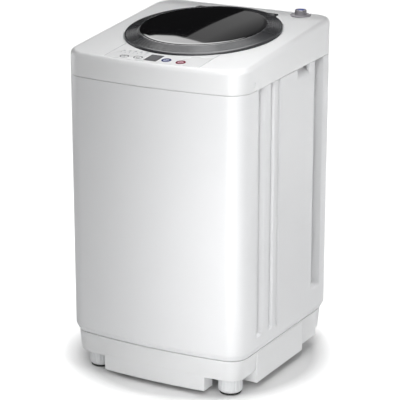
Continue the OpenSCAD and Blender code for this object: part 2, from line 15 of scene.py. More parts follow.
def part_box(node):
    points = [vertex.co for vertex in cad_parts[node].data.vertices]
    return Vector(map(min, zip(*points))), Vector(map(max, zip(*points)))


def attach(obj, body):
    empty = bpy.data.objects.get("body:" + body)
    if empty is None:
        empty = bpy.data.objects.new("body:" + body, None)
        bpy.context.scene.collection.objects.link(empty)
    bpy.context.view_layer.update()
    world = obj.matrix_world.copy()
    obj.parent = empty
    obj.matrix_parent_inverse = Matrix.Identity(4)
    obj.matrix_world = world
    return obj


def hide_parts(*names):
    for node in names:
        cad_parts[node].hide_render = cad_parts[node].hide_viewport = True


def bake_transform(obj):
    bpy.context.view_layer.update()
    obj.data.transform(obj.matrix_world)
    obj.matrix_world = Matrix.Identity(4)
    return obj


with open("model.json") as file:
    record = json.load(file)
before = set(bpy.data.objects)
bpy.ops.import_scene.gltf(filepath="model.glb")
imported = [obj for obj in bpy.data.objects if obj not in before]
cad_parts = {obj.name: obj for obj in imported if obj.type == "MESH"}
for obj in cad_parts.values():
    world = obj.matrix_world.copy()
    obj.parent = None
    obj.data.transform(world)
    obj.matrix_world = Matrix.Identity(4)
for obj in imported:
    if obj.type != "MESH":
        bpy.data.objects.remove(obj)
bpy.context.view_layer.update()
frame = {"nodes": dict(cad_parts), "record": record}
record = frame["record"]
MM = 0.001


def corner(node, high):
    """A corner of a CAD node's box, in millimetres."""
    return np.array(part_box(node)[high]) / MM


# ---- sizes
HALF_W = corner("cabinet", 1)[0]
HALF_D = corner("cabinet", 1)[1]
CABINET_Z = corner("cabinet", 0)[2]
FRONT_R, REAR_R, BOW = 46.0, 48.0, 17.0
WALL = 3.0
SEAM_Z0, SEAM_RISE = 664.0, 0.038
DECK_Z0, DECK_RISE, LEVEL_Y, LEVEL_SOFT = 714.0, 0.11, 168.0, 5.0
EDGE_R = 10.0
MOUTH_R, SEAT_R = 148.0, 172.5
LID_Y = 11.5
TUB_Y = (corner("wash_shaft", 0)[1] + corner("wash_shaft", 1)[1]) / 2
TILT = math.atan(DECK_RISE)
DECK_MID = DECK_Z0 + DECK_RISE * HALF_D
DECK = Matrix.Translation((0, 0, DECK_MID)) @ Matrix.Rotation(TILT, 4, "X")

BOW_R = (HALF_W**2 + BOW**2) / (2 * BOW)
BOW_Y = BOW_R - HALF_D
CORNER_Y = BOW_Y - math.sqrt((BOW_R - FRONT_R) ** 2 - (HALF_W - FRONT_R) ** 2)
BOW_A = math.degrees(math.atan2(BOW_Y - CORNER_Y, HALF_W - FRONT_R))

# Side flutes: start, floor start, floor end and end along Y, depth, and the two heights between
# which they rise out of the flat wall
FLUTES = [(-142, -134, -120.5, -111, 8, 125, 131), (-87, -83, -72.5, -68.5, 6, 125, 131),
          (-55, -52, -47.5, -44.5, 3, 121, 125), (118.5, 129, 145, 160.5, 12, 150, 162)]
# Finger recess: its ends along Y, its lower edge, how far its ends and its depth run
HANDLE, HANDLE_END, HANDLE_SLOPE, HANDLE_DEEP = (33.5, 94, 654), 1.2, 0.62, 13
FRONT_FOOT, REAR_FOOT = (163.0, -160.0), (146.0, 146.0)

# Panel items: centre along the deck
DISPLAY_AT, DISPLAY_SIZE = (-5, -190), (30, 38)
START_AT, POWER_AT = (27.2, -194), (62.3, -196)
PROGRAM_AT, LEVEL_AT = (-69.5, -201.2), (-38, -198.4)
ROUND_R, OVAL = 10.6, (22, 16)
FILM_LEFT, FILM_RIGHT = -114.0, 115.0
INLET_AT = (146.0, 185.0)
SCREW_AT = (-162.0, 682.0)
DRAIN_AT, DRAIN_CUP_R = (120.0, 124.0), 19.5


# ---- plan outline
def arc(cx, cy, r, a0, a1, n, ends=True):
    """Points and outward normals on an arc, angles in degrees."""
    a = np.radians(np.linspace(a0, a1, n, endpoint=ends))
    nrm = np.stack([np.cos(a), np.sin(a)], 1)
    return np.array([cx, cy]) + r * nrm, nrm


def flat(p, q, n, extra=()):
    """Points from p to q without its end, with extra positions along Y, and the outward normal."""
    p, q = np.array(p, float), np.array(q, float)
    t = list(np.linspace(0, 1, n, endpoint=False))
    if extra:
        t += [(y - p[1]) / (q[1] - p[1]) for y in extra]
    t = np.array(sorted(x for x in set(np.round(t, 6)) if 0 <= x < 1))
    d = (q - p) / np.linalg.norm(q - p)
    return p + t[:, None] * (q - p), np.tile([d[1], -d[0]], (len(t), 1))


def plan(side_ys=(), rear_xs=(), arcs=14, front=40):
    """The body's outline anticlockwise from the right: points and outward normals."""
    fy, ry = CORNER_Y, HALF_D - REAR_R
    rear = flat((HALF_W - REAR_R, HALF_D), (REAR_R - HALF_W, HALF_D), 12)
    if len(rear_xs):
        xs = sorted(set(list(rear[0][:, 0]) + list(rear_xs)), reverse=True)
        rear = (np.array([(x, HALF_D) for x in xs]), np.tile([0.0, 1.0], (len(xs), 1)))
    a = np.radians(np.linspace(180 + BOW_A, 360 - BOW_A, front, endpoint=False))
    nrm = np.stack([np.cos(a), np.sin(a)], 1)
    parts = [
        arc(HALF_W - REAR_R, ry, REAR_R, 0, 90, arcs, False), rear,
        arc(REAR_R - HALF_W, ry, REAR_R, 90, 180, arcs, False),
        flat((-HALF_W, ry), (-HALF_W, fy), 18, side_ys),
        arc(FRONT_R - HALF_W, fy, FRONT_R, 180, 180 + BOW_A, arcs, False),
        (np.array([0, BOW_Y]) + BOW_R * nrm, nrm),
        arc(HALF_W - FRONT_R, fy, FRONT_R, 360 - BOW_A, 360, arcs, False),
        flat((HALF_W, fy), (HALF_W, ry), 18, side_ys)]
    return np.concatenate([p[0] for p in parts]), np.concatenate([p[1] for p in parts])


def seam_z(y):
    return SEAM_Z0 + SEAM_RISE * (y + HALF_D)


def deck_z(y):
    """Height of the top: it slopes up to the rear and turns level there, softly."""
    level = DECK_Z0 + DECK_RISE * (LEVEL_Y + HALF_D)
    slope = DECK_Z0 + DECK_RISE * (y + HALF_D)
    k = LEVEL_SOFT * DECK_RISE
    h = np.clip(0.5 + 0.5 * (slope - level) / k, 0, 1)
    return slope * (1 - h) + level * h - k * h * (1 - h)


# ---- mesh helpers
def linked(name, mesh, sharp=30):
    """An object for a mesh, shaded smooth up to an angle."""
    shade(mesh, sharp)
    obj = bpy.data.objects.new(name, mesh)
    bpy.context.scene.collection.objects.link(obj)
    return obj


def clean(mesh, degenerate=True):
    """Merges doubled points and turns the faces outwards."""
    bm = bmesh.new()
    bm.from_mesh(mesh)
    bmesh.ops.remove_doubles(bm, verts=bm.verts, dist=2e-6)
    if degenerate:
        bmesh.ops.dissolve_degenerate(bm, edges=bm.edges, dist=1e-6)
    bmesh.ops.recalc_face_normals(bm, faces=bm.faces)
    bm.to_mesh(mesh)
    bm.free()


def new_object(name, verts, faces, sharp=30):
    """A mesh object from millimetre points."""
    mesh = bpy.data.meshes.new(name)
    mesh.from_pydata([tuple(v) for v in np.asarray(verts, float) * MM], [], faces)
    clean(mesh)
    return linked(name, mesh, sharp)


def shade(mesh, sharp):
    mesh.polygons.foreach_set("use_smooth", [True] * len(mesh.polygons))
    mesh.set_sharp_from_angle(angle=math.radians(sharp))
    mesh.update()


def loft_faces(k, n, around=True, along=False):
    faces = []
    for i in range(k if along else k - 1):
        a, b = i * n, ((i + 1) % k) * n
        for j in range(n if around else n - 1):
            m = (j + 1) % n
            faces.append((a + j, a + m, b + m, b + j))
    return faces


def loft(name, rings, along=False, around=True, caps=False, sharp=30):
    """A skin over rings of equal point counts; along=True closes the last ring to the first."""
    rings = np.asarray(rings, float)
    k, n = rings.shape[:2]
    faces = loft_faces(k, n, around, along)
    if caps:
        faces.append(tuple(range(n - 1, -1, -1)))
        faces.append(tuple((k - 1) * n + j for j in range(n)))
    return new_object(name, rings.reshape(-1, 3), faces, sharp)


def rounded(points, r=0.6, n=4, closed=True):
    """A polygon with its corners rounded by arcs of radius r, one value or one a corner."""
    pts = [np.array(p, float) for p in points]
    rs = r if hasattr(r, "__len__") else [r] * len(pts)
    out = []
    for i, p in enumerate(pts):
        if not closed and i in (0, len(pts) - 1) or rs[i] <= 0:
            out.append(p)
            continue
        a, b = pts[i - 1] - p, pts[(i + 1) % len(pts)] - p
        la, lb = np.linalg.norm(a), np.linalg.norm(b)
        a, b = a / la, b / lb
        half = math.acos(max(-1, min(1, float(a @ b)))) / 2
        if half > math.radians(88) or half < 0.02:
            out.append(p)
            continue
        t = min(rs[i] / math.tan(half), la * 0.48, lb * 0.48)
        rad = t * math.tan(half)
        mid = (a + b) / np.linalg.norm(a + b)
        c = p + mid * rad / math.sin(half)
        s, e = p + a * t, p + b * t
        a0 = math.atan2(*(s - c)[::-1])
        a1 = math.atan2(*(e - c)[::-1])
        d = (a1 - a0 + math.pi) % (2 * math.pi) - math.pi
        out += [c + rad * np.array([math.cos(a0 + d * q / n), math.sin(a0 + d * q / n)])
                for q in range(n + 1)]
    return np.array(out)


def place(obj, matrix):
    """Moves a mesh by a matrix in millimetres."""
    m = matrix.copy()
    m.translation = m.translation * MM
    obj.data.transform(m)
    return obj


def at(x, y, z=0.0):
    return Matrix.Translation((x, y, z))


def turned(name, profile, where=None, segments=128, closed=True, sharp=30, bend=None):
    """A profile of (radius, height) turned about an axis; bend(r, z, angle) may move its points."""
    p = np.asarray(profile, float)
    a = np.linspace(0, 2 * math.pi, segments, endpoint=False)
    r, z = np.repeat(p[:, :1], segments, 1), np.repeat(p[:, 1:], segments, 1)
    if bend:
        r, z = bend(r, z, a[None, :])
    rings = np.stack([r * np.cos(a), r * np.sin(a), z], 2)
    obj = loft(name, rings, along=closed, sharp=sharp)
    return place(obj, where) if where else obj


def prism(name, outline, z0, z1, edge=0.5, where=None):
    """An outline pulled up from z0 to z1, with rounded rims."""
    p = np.array([list(q) for q in outline], float)
    n = len(p)
    verts = np.concatenate([np.c_[p, np.full(n, z0)], np.c_[p, np.full(n, z1)]])
    faces = loft_faces(2, n) + [tuple(range(n - 1, -1, -1)), tuple(range(n, 2 * n))]
    obj = new_object(name, verts, faces)
    if edge:
        bevel(obj, edge)
    return place(obj, where) if where else obj


def bevel(obj, width, steps=3, angle=40):
    m = obj.modifiers.new("rounding", "BEVEL")
    m.width = width * MM
    m.segments = steps
    m.limit_method = "ANGLE"
    m.angle_limit = math.radians(angle)
    m.harden_normals = False
    return obj


def block(name, lo, hi, edge=1.0):
    """A box with rounded edges."""
    (x0, y0, z0), (x1, y1, z1) = lo, hi
    return prism(name, [(x0, y0), (x1, y0), (x1, y1), (x0, y1)], z0, z1, edge)


def circle(r, n=64, c=(0, 0)):
    a = np.linspace(0, 2 * math.pi, n, endpoint=False)
    return np.stack([c[0] + r * np.cos(a), c[1] + r * np.sin(a)], 1)


def oval(w, h, c=(0, 0), n=20):
    """A slot shape of width w and height h."""
    r, x = h / 2, w / 2 - h / 2
    a = np.linspace(-math.pi / 2, math.pi / 2, n)
    right = np.stack([x + r * np.cos(a), r * np.sin(a)], 1)
    return np.concatenate([right, -right]) + np.array(c, float)


def rect(w, h, c=(0, 0)):
    return np.array([(-w / 2, -h / 2), (w / 2, -h / 2), (w / 2, h / 2), (-w / 2, h / 2)]) + np.array(c)


def sheet_with_holes(name, outer, holes, z0, z1, where=None):
    """A flat plate with true holes, filled by Blender's own curve fill."""
    curve = bpy.data.curves.new(name, "CURVE")
    curve.dimensions = "2D"
    curve.fill_mode = "BOTH"
    curve.extrude = (z1 - z0) / 2 * MM
    for loop in [outer, *holes]:
        s = curve.splines.new("POLY")
        s.points.add(len(loop) - 1)
        for p, q in zip(s.points, loop, strict=True):
            p.co = (q[0] * MM, q[1] * MM, 0, 1)
        s.use_cyclic_u = True
    tmp = bpy.data.objects.new(name + "_curve", curve)
    bpy.context.scene.collection.objects.link(tmp)
    bpy.context.view_layer.update()
    mesh = bpy.data.meshes.new_from_object(tmp.evaluated_get(bpy.context.evaluated_depsgraph_get()))
    bpy.data.objects.remove(tmp)
    mesh.name = name
    clean(mesh, degenerate=False)
    obj = place(linked(name, mesh), at(0, 0, (z0 + z1) / 2))
    return place(obj, where) if where else obj


def apply_modifiers(obj, sharp=30):
    """Bakes an object's modifiers into its mesh."""
    bpy.context.view_layer.update()
    mesh = bpy.data.meshes.new_from_object(
        obj.evaluated_get(bpy.context.evaluated_depsgraph_get()))
    old = obj.data
    obj.modifiers.clear()
    obj.data = mesh
    mesh.name = obj.name
    bpy.data.meshes.remove(old)
    shade(mesh, sharp)
    return obj


def thicken(obj, t, sharp=30):
    """Gives an open skin a wall inwards."""
    m = obj.modifiers.new("wall", "SOLIDIFY")
    m.thickness = t * MM
    m.offset = -1
    m.use_even_offset = False
    return apply_modifiers(obj, sharp)


def cut(obj, cutters, sharp=30):
    """Takes cutters out of an object and removes them."""
    for c in cutters:
        m = obj.modifiers.new("cut", "BOOLEAN")
        m.operation = "DIFFERENCE"
        m.solver = "EXACT"
        m.object = c
    apply_modifiers(obj, sharp)
    for c in cutters:
        bpy.data.objects.remove(c)
    return obj


def join(name, objs, sharp=30):
    """One object from several, their modifiers applied."""
    bm = bmesh.new()
    for o in objs:
        if o.modifiers:
            apply_modifiers(o, sharp)
        bm.from_mesh(o.data)
        bpy.data.objects.remove(o)
    mesh = bpy.data.meshes.new(name)
    bm.to_mesh(mesh)
    bm.free()
    return linked(name, mesh, sharp)


def tube(name, points, r, sides=12):
    """A round bar along a list of points; r may change along it."""
    p = np.asarray(points, float)
    radii = np.broadcast_to(r, len(p))
    d = np.gradient(p, axis=0)
    d /= np.linalg.norm(d, axis=1)[:, None]
    up = np.array([0.0, 0.0, 1.0]) if abs(d[0][2]) < 0.9 else np.array([1.0, 0.0, 0.0])
    u = np.cross(d[0], up)
    rings = []
    a = np.linspace(0, 2 * math.pi, sides, endpoint=False)
    for q, t, r in zip(p, d, radii, strict=True):
        u = u - t * (u @ t)
        u /= np.linalg.norm(u)
        v = np.cross(t, u)
        rings.append(q + r * (np.cos(a)[:, None] * u + np.sin(a)[:, None] * v))
    return loft(name, rings, caps=True, sharp=50)


def smooth_path(points, n=60):
    """A Catmull-Rom curve through a few points."""
    p = [np.array(q, float) for q in points]
    p = [2 * p[0] - p[1], *p, 2 * p[-1] - p[-2]]
    out = []
    per = max(4, n // (len(p) - 3))
    for i in range(1, len(p) - 2):
        for t in np.linspace(0, 1, per, endpoint=False):
            a, b, c, d = p[i - 1], p[i], p[i + 1], p[i + 2]
            out.append(0.5 * (2 * b + (c - a) * t + (2 * a - 5 * b + 4 * c - d) * t**2
                              + (3 * b - a - 3 * c + d) * t**3))
    out.append(p[-2])
    return np.array(out)


# ---- materials
def wire(tree, kind, sockets=(), **attributes):
    """A new shader node. Each socket is given a value, or an output to be linked to it."""
    node = tree.nodes.new("ShaderNode" + kind)
    for name, value in attributes.items():
        setattr(node, name, value)
    for key, value in dict(sockets).items():
        if isinstance(value, bpy.types.NodeSocket):
            tree.links.new(value, node.inputs[key])
        else:
            node.inputs[key].default_value = value
    return node


MOTTLE = 14.0


def material(name, color, rough, metallic=0.0, ior=1.5, grain=900.0, bump=0.02, vary=0.02,
             rough_vary=0.05, stretch=(1, 1, 1), sheen=0.0):
    """A procedural finish: fine grain in the bump, and soft variation in colour and roughness."""
    mat = bpy.data.materials.new(name)
    mat.use_nodes = True
    tree = mat.node_tree
    tree.nodes.clear()
    place_on_it = wire(tree, "TexCoord").outputs["Object"]
    mapping = wire(tree, "Mapping", {"Vector": place_on_it, "Scale": stretch}).outputs["Vector"]
    fine, wide = (wire(tree, "TexNoise", {"Vector": mapping, "Scale": scale, "Detail": detail})
                  .outputs["Fac"] for scale, detail in ((grain, 3), (MOTTLE, 2)))
    lo, hi = (tuple(max(0.0, min(1.0, c * (1 + s * vary))) for c in color) for s in (-1, 1))
    tint = wire(tree, "Mix", {"Factor": wide, "A": (*lo, 1), "B": (*hi, 1)}, data_type="RGBA")
    gloss = wire(tree, "MapRange", {"Value": wide, "To Min": max(0.0, rough - rough_vary),
                                    "To Max": min(1.0, rough + rough_vary)})
    bumps = wire(tree, "Bump", {"Height": fine, "Strength": bump * 10, "Distance": 0.0001})
    shader = wire(tree, "BsdfPrincipled", {
        "Base Color": tint.outputs["Result"], "Roughness": gloss.outputs["Result"],
        "Normal": bumps.outputs["Normal"], "Metallic": metallic, "IOR": ior, "Sheen Weight": sheen})
    wire(tree, "OutputMaterial", {"Surface": shader.outputs[0]})
    return mat


SLOT_COLOR = {m["slot"]: m["base_color"][:3] for m in record["materials"]}
SLOT_COLOR["window_smoke"] = (0.003, 0.003, 0.004)  # darker than the record's colour
FINISHES = {
    "cabinet_white": dict(rough=0.4, grain=700, bump=0.012, vary=0.01),
    "cover_white": dict(rough=0.38, grain=700, bump=0.008, vary=0.008),
    "film_white": dict(rough=0.28, grain=1500, bump=0.006, vary=0.006),
    "base_white": dict(rough=0.42, grain=800, bump=0.02, vary=0.012),
    "foot_white": dict(rough=0.42, grain=900, bump=0.02, vary=0.015),
    "lid_grey": dict(rough=0.24, grain=1100, bump=0.02, vary=0.05),
    "window_smoke": dict(rough=0.03, ior=1.4, bump=0.0005, rough_vary=0.01, vary=0.02, grain=300),
    "display_black": dict(rough=0.3, ior=1.2, bump=0.001, rough_vary=0.02),
    "led_clear": dict(rough=0.35, bump=0.01),
    "button_blue": dict(rough=0.4, ior=1.35, bump=0.004),
    "button_red": dict(rough=0.4, ior=1.35, bump=0.004),
    "button_white": dict(rough=0.3, bump=0.006),
    "tub_plastic": dict(rough=0.45, bump=0.03),
    "pulsator_plastic": dict(rough=0.32, bump=0.01),
    "dark_plastic": dict(rough=0.5, bump=0.05),
    "inlet_grey": dict(rough=0.45, bump=0.04, vary=0.06),
    "filter_blue": dict(rough=0.4, bump=0.03, vary=0.06),
    "filter_bag": dict(rough=0.8, bump=0.3, grain=1800, sheen=0.3),
    "basket_steel": dict(rough=0.28, metallic=1.0, grain=500, bump=0.02, stretch=(1, 1, 14)),
    "zinc_steel": dict(rough=0.42, metallic=0.9, grain=220, bump=0.03, vary=0.08),
    "shaft_steel": dict(rough=0.22, metallic=1.0, grain=900, bump=0.02, stretch=(1, 1, 8)),
    "cast_alloy": dict(rough=0.5, metallic=0.9, grain=350, bump=0.15),
    "motor_grey": dict(rough=0.45, metallic=0.3, grain=600, bump=0.08),
    "black_rubber": dict(rough=0.75, grain=700, bump=0.12, vary=0.15),
    "board_green": dict(rough=0.35, grain=1200, bump=0.04, vary=0.1),
    "can_metal": dict(rough=0.35, metallic=1.0, grain=800, bump=0.02),
}
MATS = {slot: material(slot, SLOT_COLOR[slot], **finish) for slot, finish in FINISHES.items()}
INK = material("ink_dark", (0.012, 0.012, 0.015), rough=0.6, ior=1.15, bump=0.01)
INK_BLUE = material("ink_blue", (0.008, 0.014, 0.09), rough=0.6, ior=1.15, bump=0.004)
INK_RED = material("ink_red", (0.11, 0.004, 0.018), rough=0.6, ior=1.15, bump=0.004)
INK_GREY = material("ink_grey", (0.04, 0.04, 0.045), rough=0.6, ior=1.15, bump=0.01)
# Grey for the thin strips along the film's side edges: painted shade, standing in for the shade along
# the film sheet's edges
FILM_EDGE_SHADE = material("film_edge_painted_shade", (0.24, 0.25, 0.27), rough=0.5, bump=0.01)


def show(obj, slot, body, *nodes, mat=None):
    """Finishes a piece: its material, which is its slot's finish unless one is given, the CAD nodes that
    it stands for and its body.
    """
    obj.data.materials.clear()
    obj.data.materials.append(mat or MATS[slot])
    if nodes:
        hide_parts(*nodes)
    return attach(obj, body)


# ---- cabinet
def ramp(a, b, x):
    return np.clip((np.asarray(x, float) - a) / (b - a), 0, 1)


def smooth(a, b, x):
    t = ramp(a, b, x)
    return t * t * (3 - 2 * t)


def flute_depth(y, z):
    """Depth of the upright flutes in the side walls, with softly rounded corners."""
    y, z = np.asarray(y, float), np.asarray(z, float)
    soft = np.linspace(-1.1, 1.1, 5)
    total = np.zeros(np.broadcast(y, z).shape)
    for y0, y1, y2, y3, depth, z0, z1 in FLUTES:
        across = np.mean([ramp(y0, y1, y + s) * (1 - ramp(y2, y3, y + s)) for s in soft], axis=0)
        total = np.maximum(total, depth * across * smooth(z0, z1, z))
    return total


def handle_depth(y, z):
    """Depth of the finger recess, which slopes inwards up to its top."""
    a, b, low = HANDLE
    side = ramp(a, a + HANDLE_END, y) * (1 - ramp(b - HANDLE_END, b, y))
    return side * np.clip((z - low) * HANDLE_SLOPE, 0, HANDLE_DEEP)


side_ys = []
for flute in FLUTES:
    for edge_y in flute[:4]:
        side_ys += [edge_y - 1.1, edge_y - 0.4, edge_y + 0.4, edge_y + 1.1]
side_ys += [HANDLE[0], HANDLE[0] + HANDLE_END, 45, 60, 75, HANDLE[1] - HANDLE_END, HANDLE[1]]
# The opening behind the rear panel: its ends along X and its heights
REAR_OPEN = (-150, 150, 154, 600)
outline_p, outline_n = plan(side_ys=side_ys, rear_xs=(-150, 150))
on_side = (abs(outline_n[:, 0]) > 0.999) & (abs(outline_p[:, 0]) > HALF_W - 0.01)


def wall_ring(inset, z, press=True):
    """One level of the cabinet wall: inset and height may differ from point to point."""
    p = outline_p - outline_n * np.reshape(inset, (-1, 1))
    z = np.broadcast_to(z, len(p)).astype(float)
    if press:
        y = outline_p[:, 1]
        depth = np.where(on_side, np.maximum(flute_depth(y, z), handle_depth(y, z)), 0)
        p = p - outline_n * depth[:, None]
    return np.c_[p, z]


# Inset and height of the rim that turns in under the wall
LOWER_RIM = [(15, 0.6), (9.5, 0.6), (8.2, 0.9), (7.2, 1.7), (6.6, 2.9), (4.4, 6.8), (2.2, 10.8),
             (0.5, 13.8), (0.08, 14.6), (0, 15.7)]
rings = [wall_ring(i, CABINET_Z + z, False) for i, z in LOWER_RIM]
levels = [108, 112, 116, 119, *np.arange(121, 165, 2), 170, 200, 230, 270, 310, 350, 390, 430, 470,
          510, 550, 590, 610, 630, 650, 654, 656, 658]
rings += [wall_ring(0, z) for z in sorted(set([*levels, REAR_OPEN[2], REAR_OPEN[3]]))]
top_line = seam_z(outline_p[:, 1])
for f in np.linspace(0.1, 1, 11):
    rings.append(wall_ring(0, 660 + (top_line - 1.0 - 660) * f))
rings += [wall_ring(0.12, top_line - 0.5), wall_ring(0.5, top_line - 0.1), wall_ring(0.9, top_line)]
rings = np.array(rings)
k, n = rings.shape[:2]
mid = rings.reshape(-1, 3)
faces = [f for f in loft_faces(k, n)
         if not (mid[list(f)][:, 1].min() > HALF_D - 0.1
                 and abs(mid[list(f)][:, 0].mean()) < REAR_OPEN[1]
                 and REAR_OPEN[2] < mid[list(f)][:, 2].mean() < REAR_OPEN[3])]
cabinet = new_object("cabinet_wall", mid, faces, sharp=35)
thicken(cabinet, WALL, 35)
drain_cut = turned("drain_cut", [(0, 180), (DRAIN_CUP_R, 180),
                                (DRAIN_CUP_R, 240), (0, 240)], closed=False,
                   where=Matrix.Translation((DRAIN_AT[0], 0, DRAIN_AT[1]))
                   @ Matrix.Rotation(-math.pi / 2, 4, "X"), segments=64)
cut(cabinet, [drain_cut], 35)

UPRIGHT = Matrix.Rotation(math.pi / 2, 4, "X")
ledge = sheet_with_holes("rear_ledge", rect(330, 467, (0, 380.5)), [rect(276, 422, (0, 377))],
                         -(HALF_D - 2.9), -(HALF_D - 6.2), UPRIGHT)
shelves = []
for sx in (-1, 1):
    for sy in (-1, 1):
        c = (sx * 168.0, TUB_Y + sy * 168.0)
        edge = []
        for p, q in zip(outline_p, outline_n, strict=True):
            s = p - q * 2.6
            if s[0] * sx > 140 and (s[1] - TUB_Y) * sy > 140:
                edge.append(tuple(s))
        x0, y0 = sx * 140.0, TUB_Y + sy * 140.0
        ends = [edge[-1], edge[0]]
        loop = edge + [(x0, ends[0][1]) if abs(ends[0][1] - y0) > 8 else (ends[0][0], y0),
                       (x0, y0),
                       (x0, ends[1][1]) if abs(ends[1][1] - y0) > 8 else (ends[1][0], y0)]
        shelves.append(sheet_with_holes("shelf", np.array(loop), [circle(6, 24, c)], 595, 600))
tabs = [block("tab", (sx * 209.5 - 1.5, -173, 641), (sx * 209.5 + 1.5, -151, 694), 0.6)
        for sx in (-1, 1)]
cabinet = join("cabinet_shell", [cabinet, ledge, *shelves, *tabs], 35)
show(cabinet, "cabinet_white", "cabinet", "cabinet")


# ---- top cover
theta_extra = [52.6, 53.6, 54.5, 54.7, 56.5, 58.8, 58.9, 61.0, 64.0, 68.0, 71.5, 71.7]
theta = set(np.round(np.arange(0, 360, 1.25), 3))
for t in theta_extra:
    theta |= {t, 180 - t}
theta = np.radians(np.array(sorted(theta)))
THETA_DEG = np.degrees(theta)
fine_p, fine_n = plan(tuple(range(-170, 171)), rear_xs=range(-165, 166), arcs=60, front=200)


def polar_radius(inset):
    """Distance from the lid's axis to the body's outline, moved inwards, for each angle."""
    p = fine_p - fine_n * inset - np.array([0, LID_Y])
    a = np.arctan2(p[:, 1], p[:, 0]) % (2 * math.pi)
    r = np.hypot(p[:, 0], p[:, 1])
    order = np.argsort(a)
    a, r = a[order], r[order]
    return np.interp(theta, np.r_[a - 2 * math.pi, a, a + 2 * math.pi], np.r_[r, r, r])


def ring_at(radius, z):
    x, y = radius * np.cos(theta), LID_Y + radius * np.sin(theta)
    return np.stack([x, y, z(x, y) if callable(z) else np.broadcast_to(z, x.shape)], 1)


def on_deck(x, y, z):
    """Global points from points in the sloping deck's own frame."""
    c, s = math.cos(TILT), math.sin(TILT)
    return np.stack([x, y * c - z * s, DECK_MID + y * s + z * c], 1)


# The lid's seat, and the well behind it that the rear of the lid swings down into. Both are worked
# out by the angle from the nearer side: the well's floor drops, its side wall starts, turns to the
# straight rear wall, and ends in a bow.
DROP_START, DROP_END, SIDE_START, SIDE_END, REAR_END = 52.6, 53.6, 54.6, 58.85, 71.6
WELL_X, WELL_Y, BOW_GAP, SEAT_Z, WELL_DROP = 100, 166.1, 2.1, -3.0, 14.5
folded = np.where((THETA_DEG > 45) & (THETA_DEG < 135), np.minimum(THETA_DEG, 180 - THETA_DEG), 0)
seat_edge = SEAT_R + np.where(folded > SIDE_START, BOW_GAP * np.sin(np.radians(folded)), 0)
in_side = (folded > SIDE_START) & (folded <= SIDE_END)
in_rear = (folded > SIDE_END) & (folded < REAR_END)
seat_edge[in_side] = WELL_X / np.cos(np.radians(folded[in_side]))
seat_edge[in_rear] = WELL_Y / np.sin(np.radians(folded[in_rear]))
seat_floor = SEAT_Z - WELL_DROP * smooth(DROP_START, DROP_END, folded)


def deck_ring(radius, z):
    x, y = radius * np.cos(theta), LID_Y + radius * np.sin(theta)
    return on_deck(x, y, np.broadcast_to(z, x.shape))


rings = [ring_at(polar_radius(i), lambda x, y, u=u: seam_z(y) + u)
         for i, u in ((1.0, 0.6), (0.5, 0.7), (0.12, 1.1), (0, 1.8), (0, 12), (0, 24))]
for f in (0.5, 0.8, 1.0):
    rings.append(ring_at(polar_radius(0), lambda x, y, f=f: (seam_z(y) + 24) * (1 - f)
                         + (deck_z(y) - EDGE_R) * f))
for a in np.radians(np.linspace(9, 90, 10)):
    rings.append(ring_at(polar_radius(EDGE_R * (1 - math.cos(a))),
                         lambda x, y, a=a: deck_z(y) - EDGE_R * (1 - math.sin(a))))
edge_top = deck_ring(seat_edge + 0.8, 0.0)
edge_top[:, 2] = deck_z(edge_top[:, 1])
last = rings[-1]
for f in np.linspace(0.07, 1, 15):
    r = last * (1 - f) + edge_top * f
    r[:, 2] = deck_z(r[:, 1])
    rings.append(r)
lip = deck_ring(seat_edge + 0.25, 0.0)
lip[:, 2] = deck_z(lip[:, 1]) - 0.15
rings.append(lip)
lip = deck_ring(seat_edge, 0.0)
lip[:, 2] = deck_z(lip[:, 1]) - 0.7
rings.append(lip)
rings += [deck_ring(seat_edge, seat_floor + 0.6), deck_ring(seat_edge - 0.6, seat_floor),
          deck_ring(160.0, seat_floor)]
neck_top = lambda x, y, u: DECK_Z0 + DECK_RISE * (y + HALF_D) + u
rings += [ring_at(MOUTH_R + 2.0, lambda x, y: neck_top(x, y, seat_floor)),
          ring_at(MOUTH_R + 0.5, lambda x, y: neck_top(x, y, seat_floor - 0.5)),
          ring_at(MOUTH_R, lambda x, y: neck_top(x, y, seat_floor - 2.0))]
for z in (700.0, 680.0, 655.0, 632.0, 629.0, 628.0):
    rings.append(ring_at(MOUTH_R if z > 628 else MOUTH_R + 0.8, z))
cover = loft("top_cover_shell", rings, sharp=32)
thicken(cover, 2.5, 32)

GAP = 0.4
key_holes = [*(circle(ROUND_R + GAP, 64, where) for where in (START_AT, POWER_AT)),
             *(oval(OVAL[0] + 2 * GAP, OVAL[1] + 2 * GAP, where) for where in (PROGRAM_AT, LEVEL_AT))]
cutters = [prism("panel_hole", hole, -8, 8, 0, DECK) for hole in (*key_holes, rect(26, 34, DISPLAY_AT))]
cutters.append(prism("cut_inlet", circle(12.2, 48, INLET_AT), 710, 800, 0))
SIDEWAYS = Matrix.Rotation(math.pi / 2, 4, "Y")
for sx in (-1, 1):
    cutters.append(prism("cut_screw", circle(6, 40), -12, 12, 0,
                         Matrix.Translation((sx * HALF_W, *SCREW_AT)) @ SIDEWAYS))
tool = join("cover_tool", cutters)
cut(cover, [tool], 32)
show(cover, "cover_white", "cabinet", "top_cover")


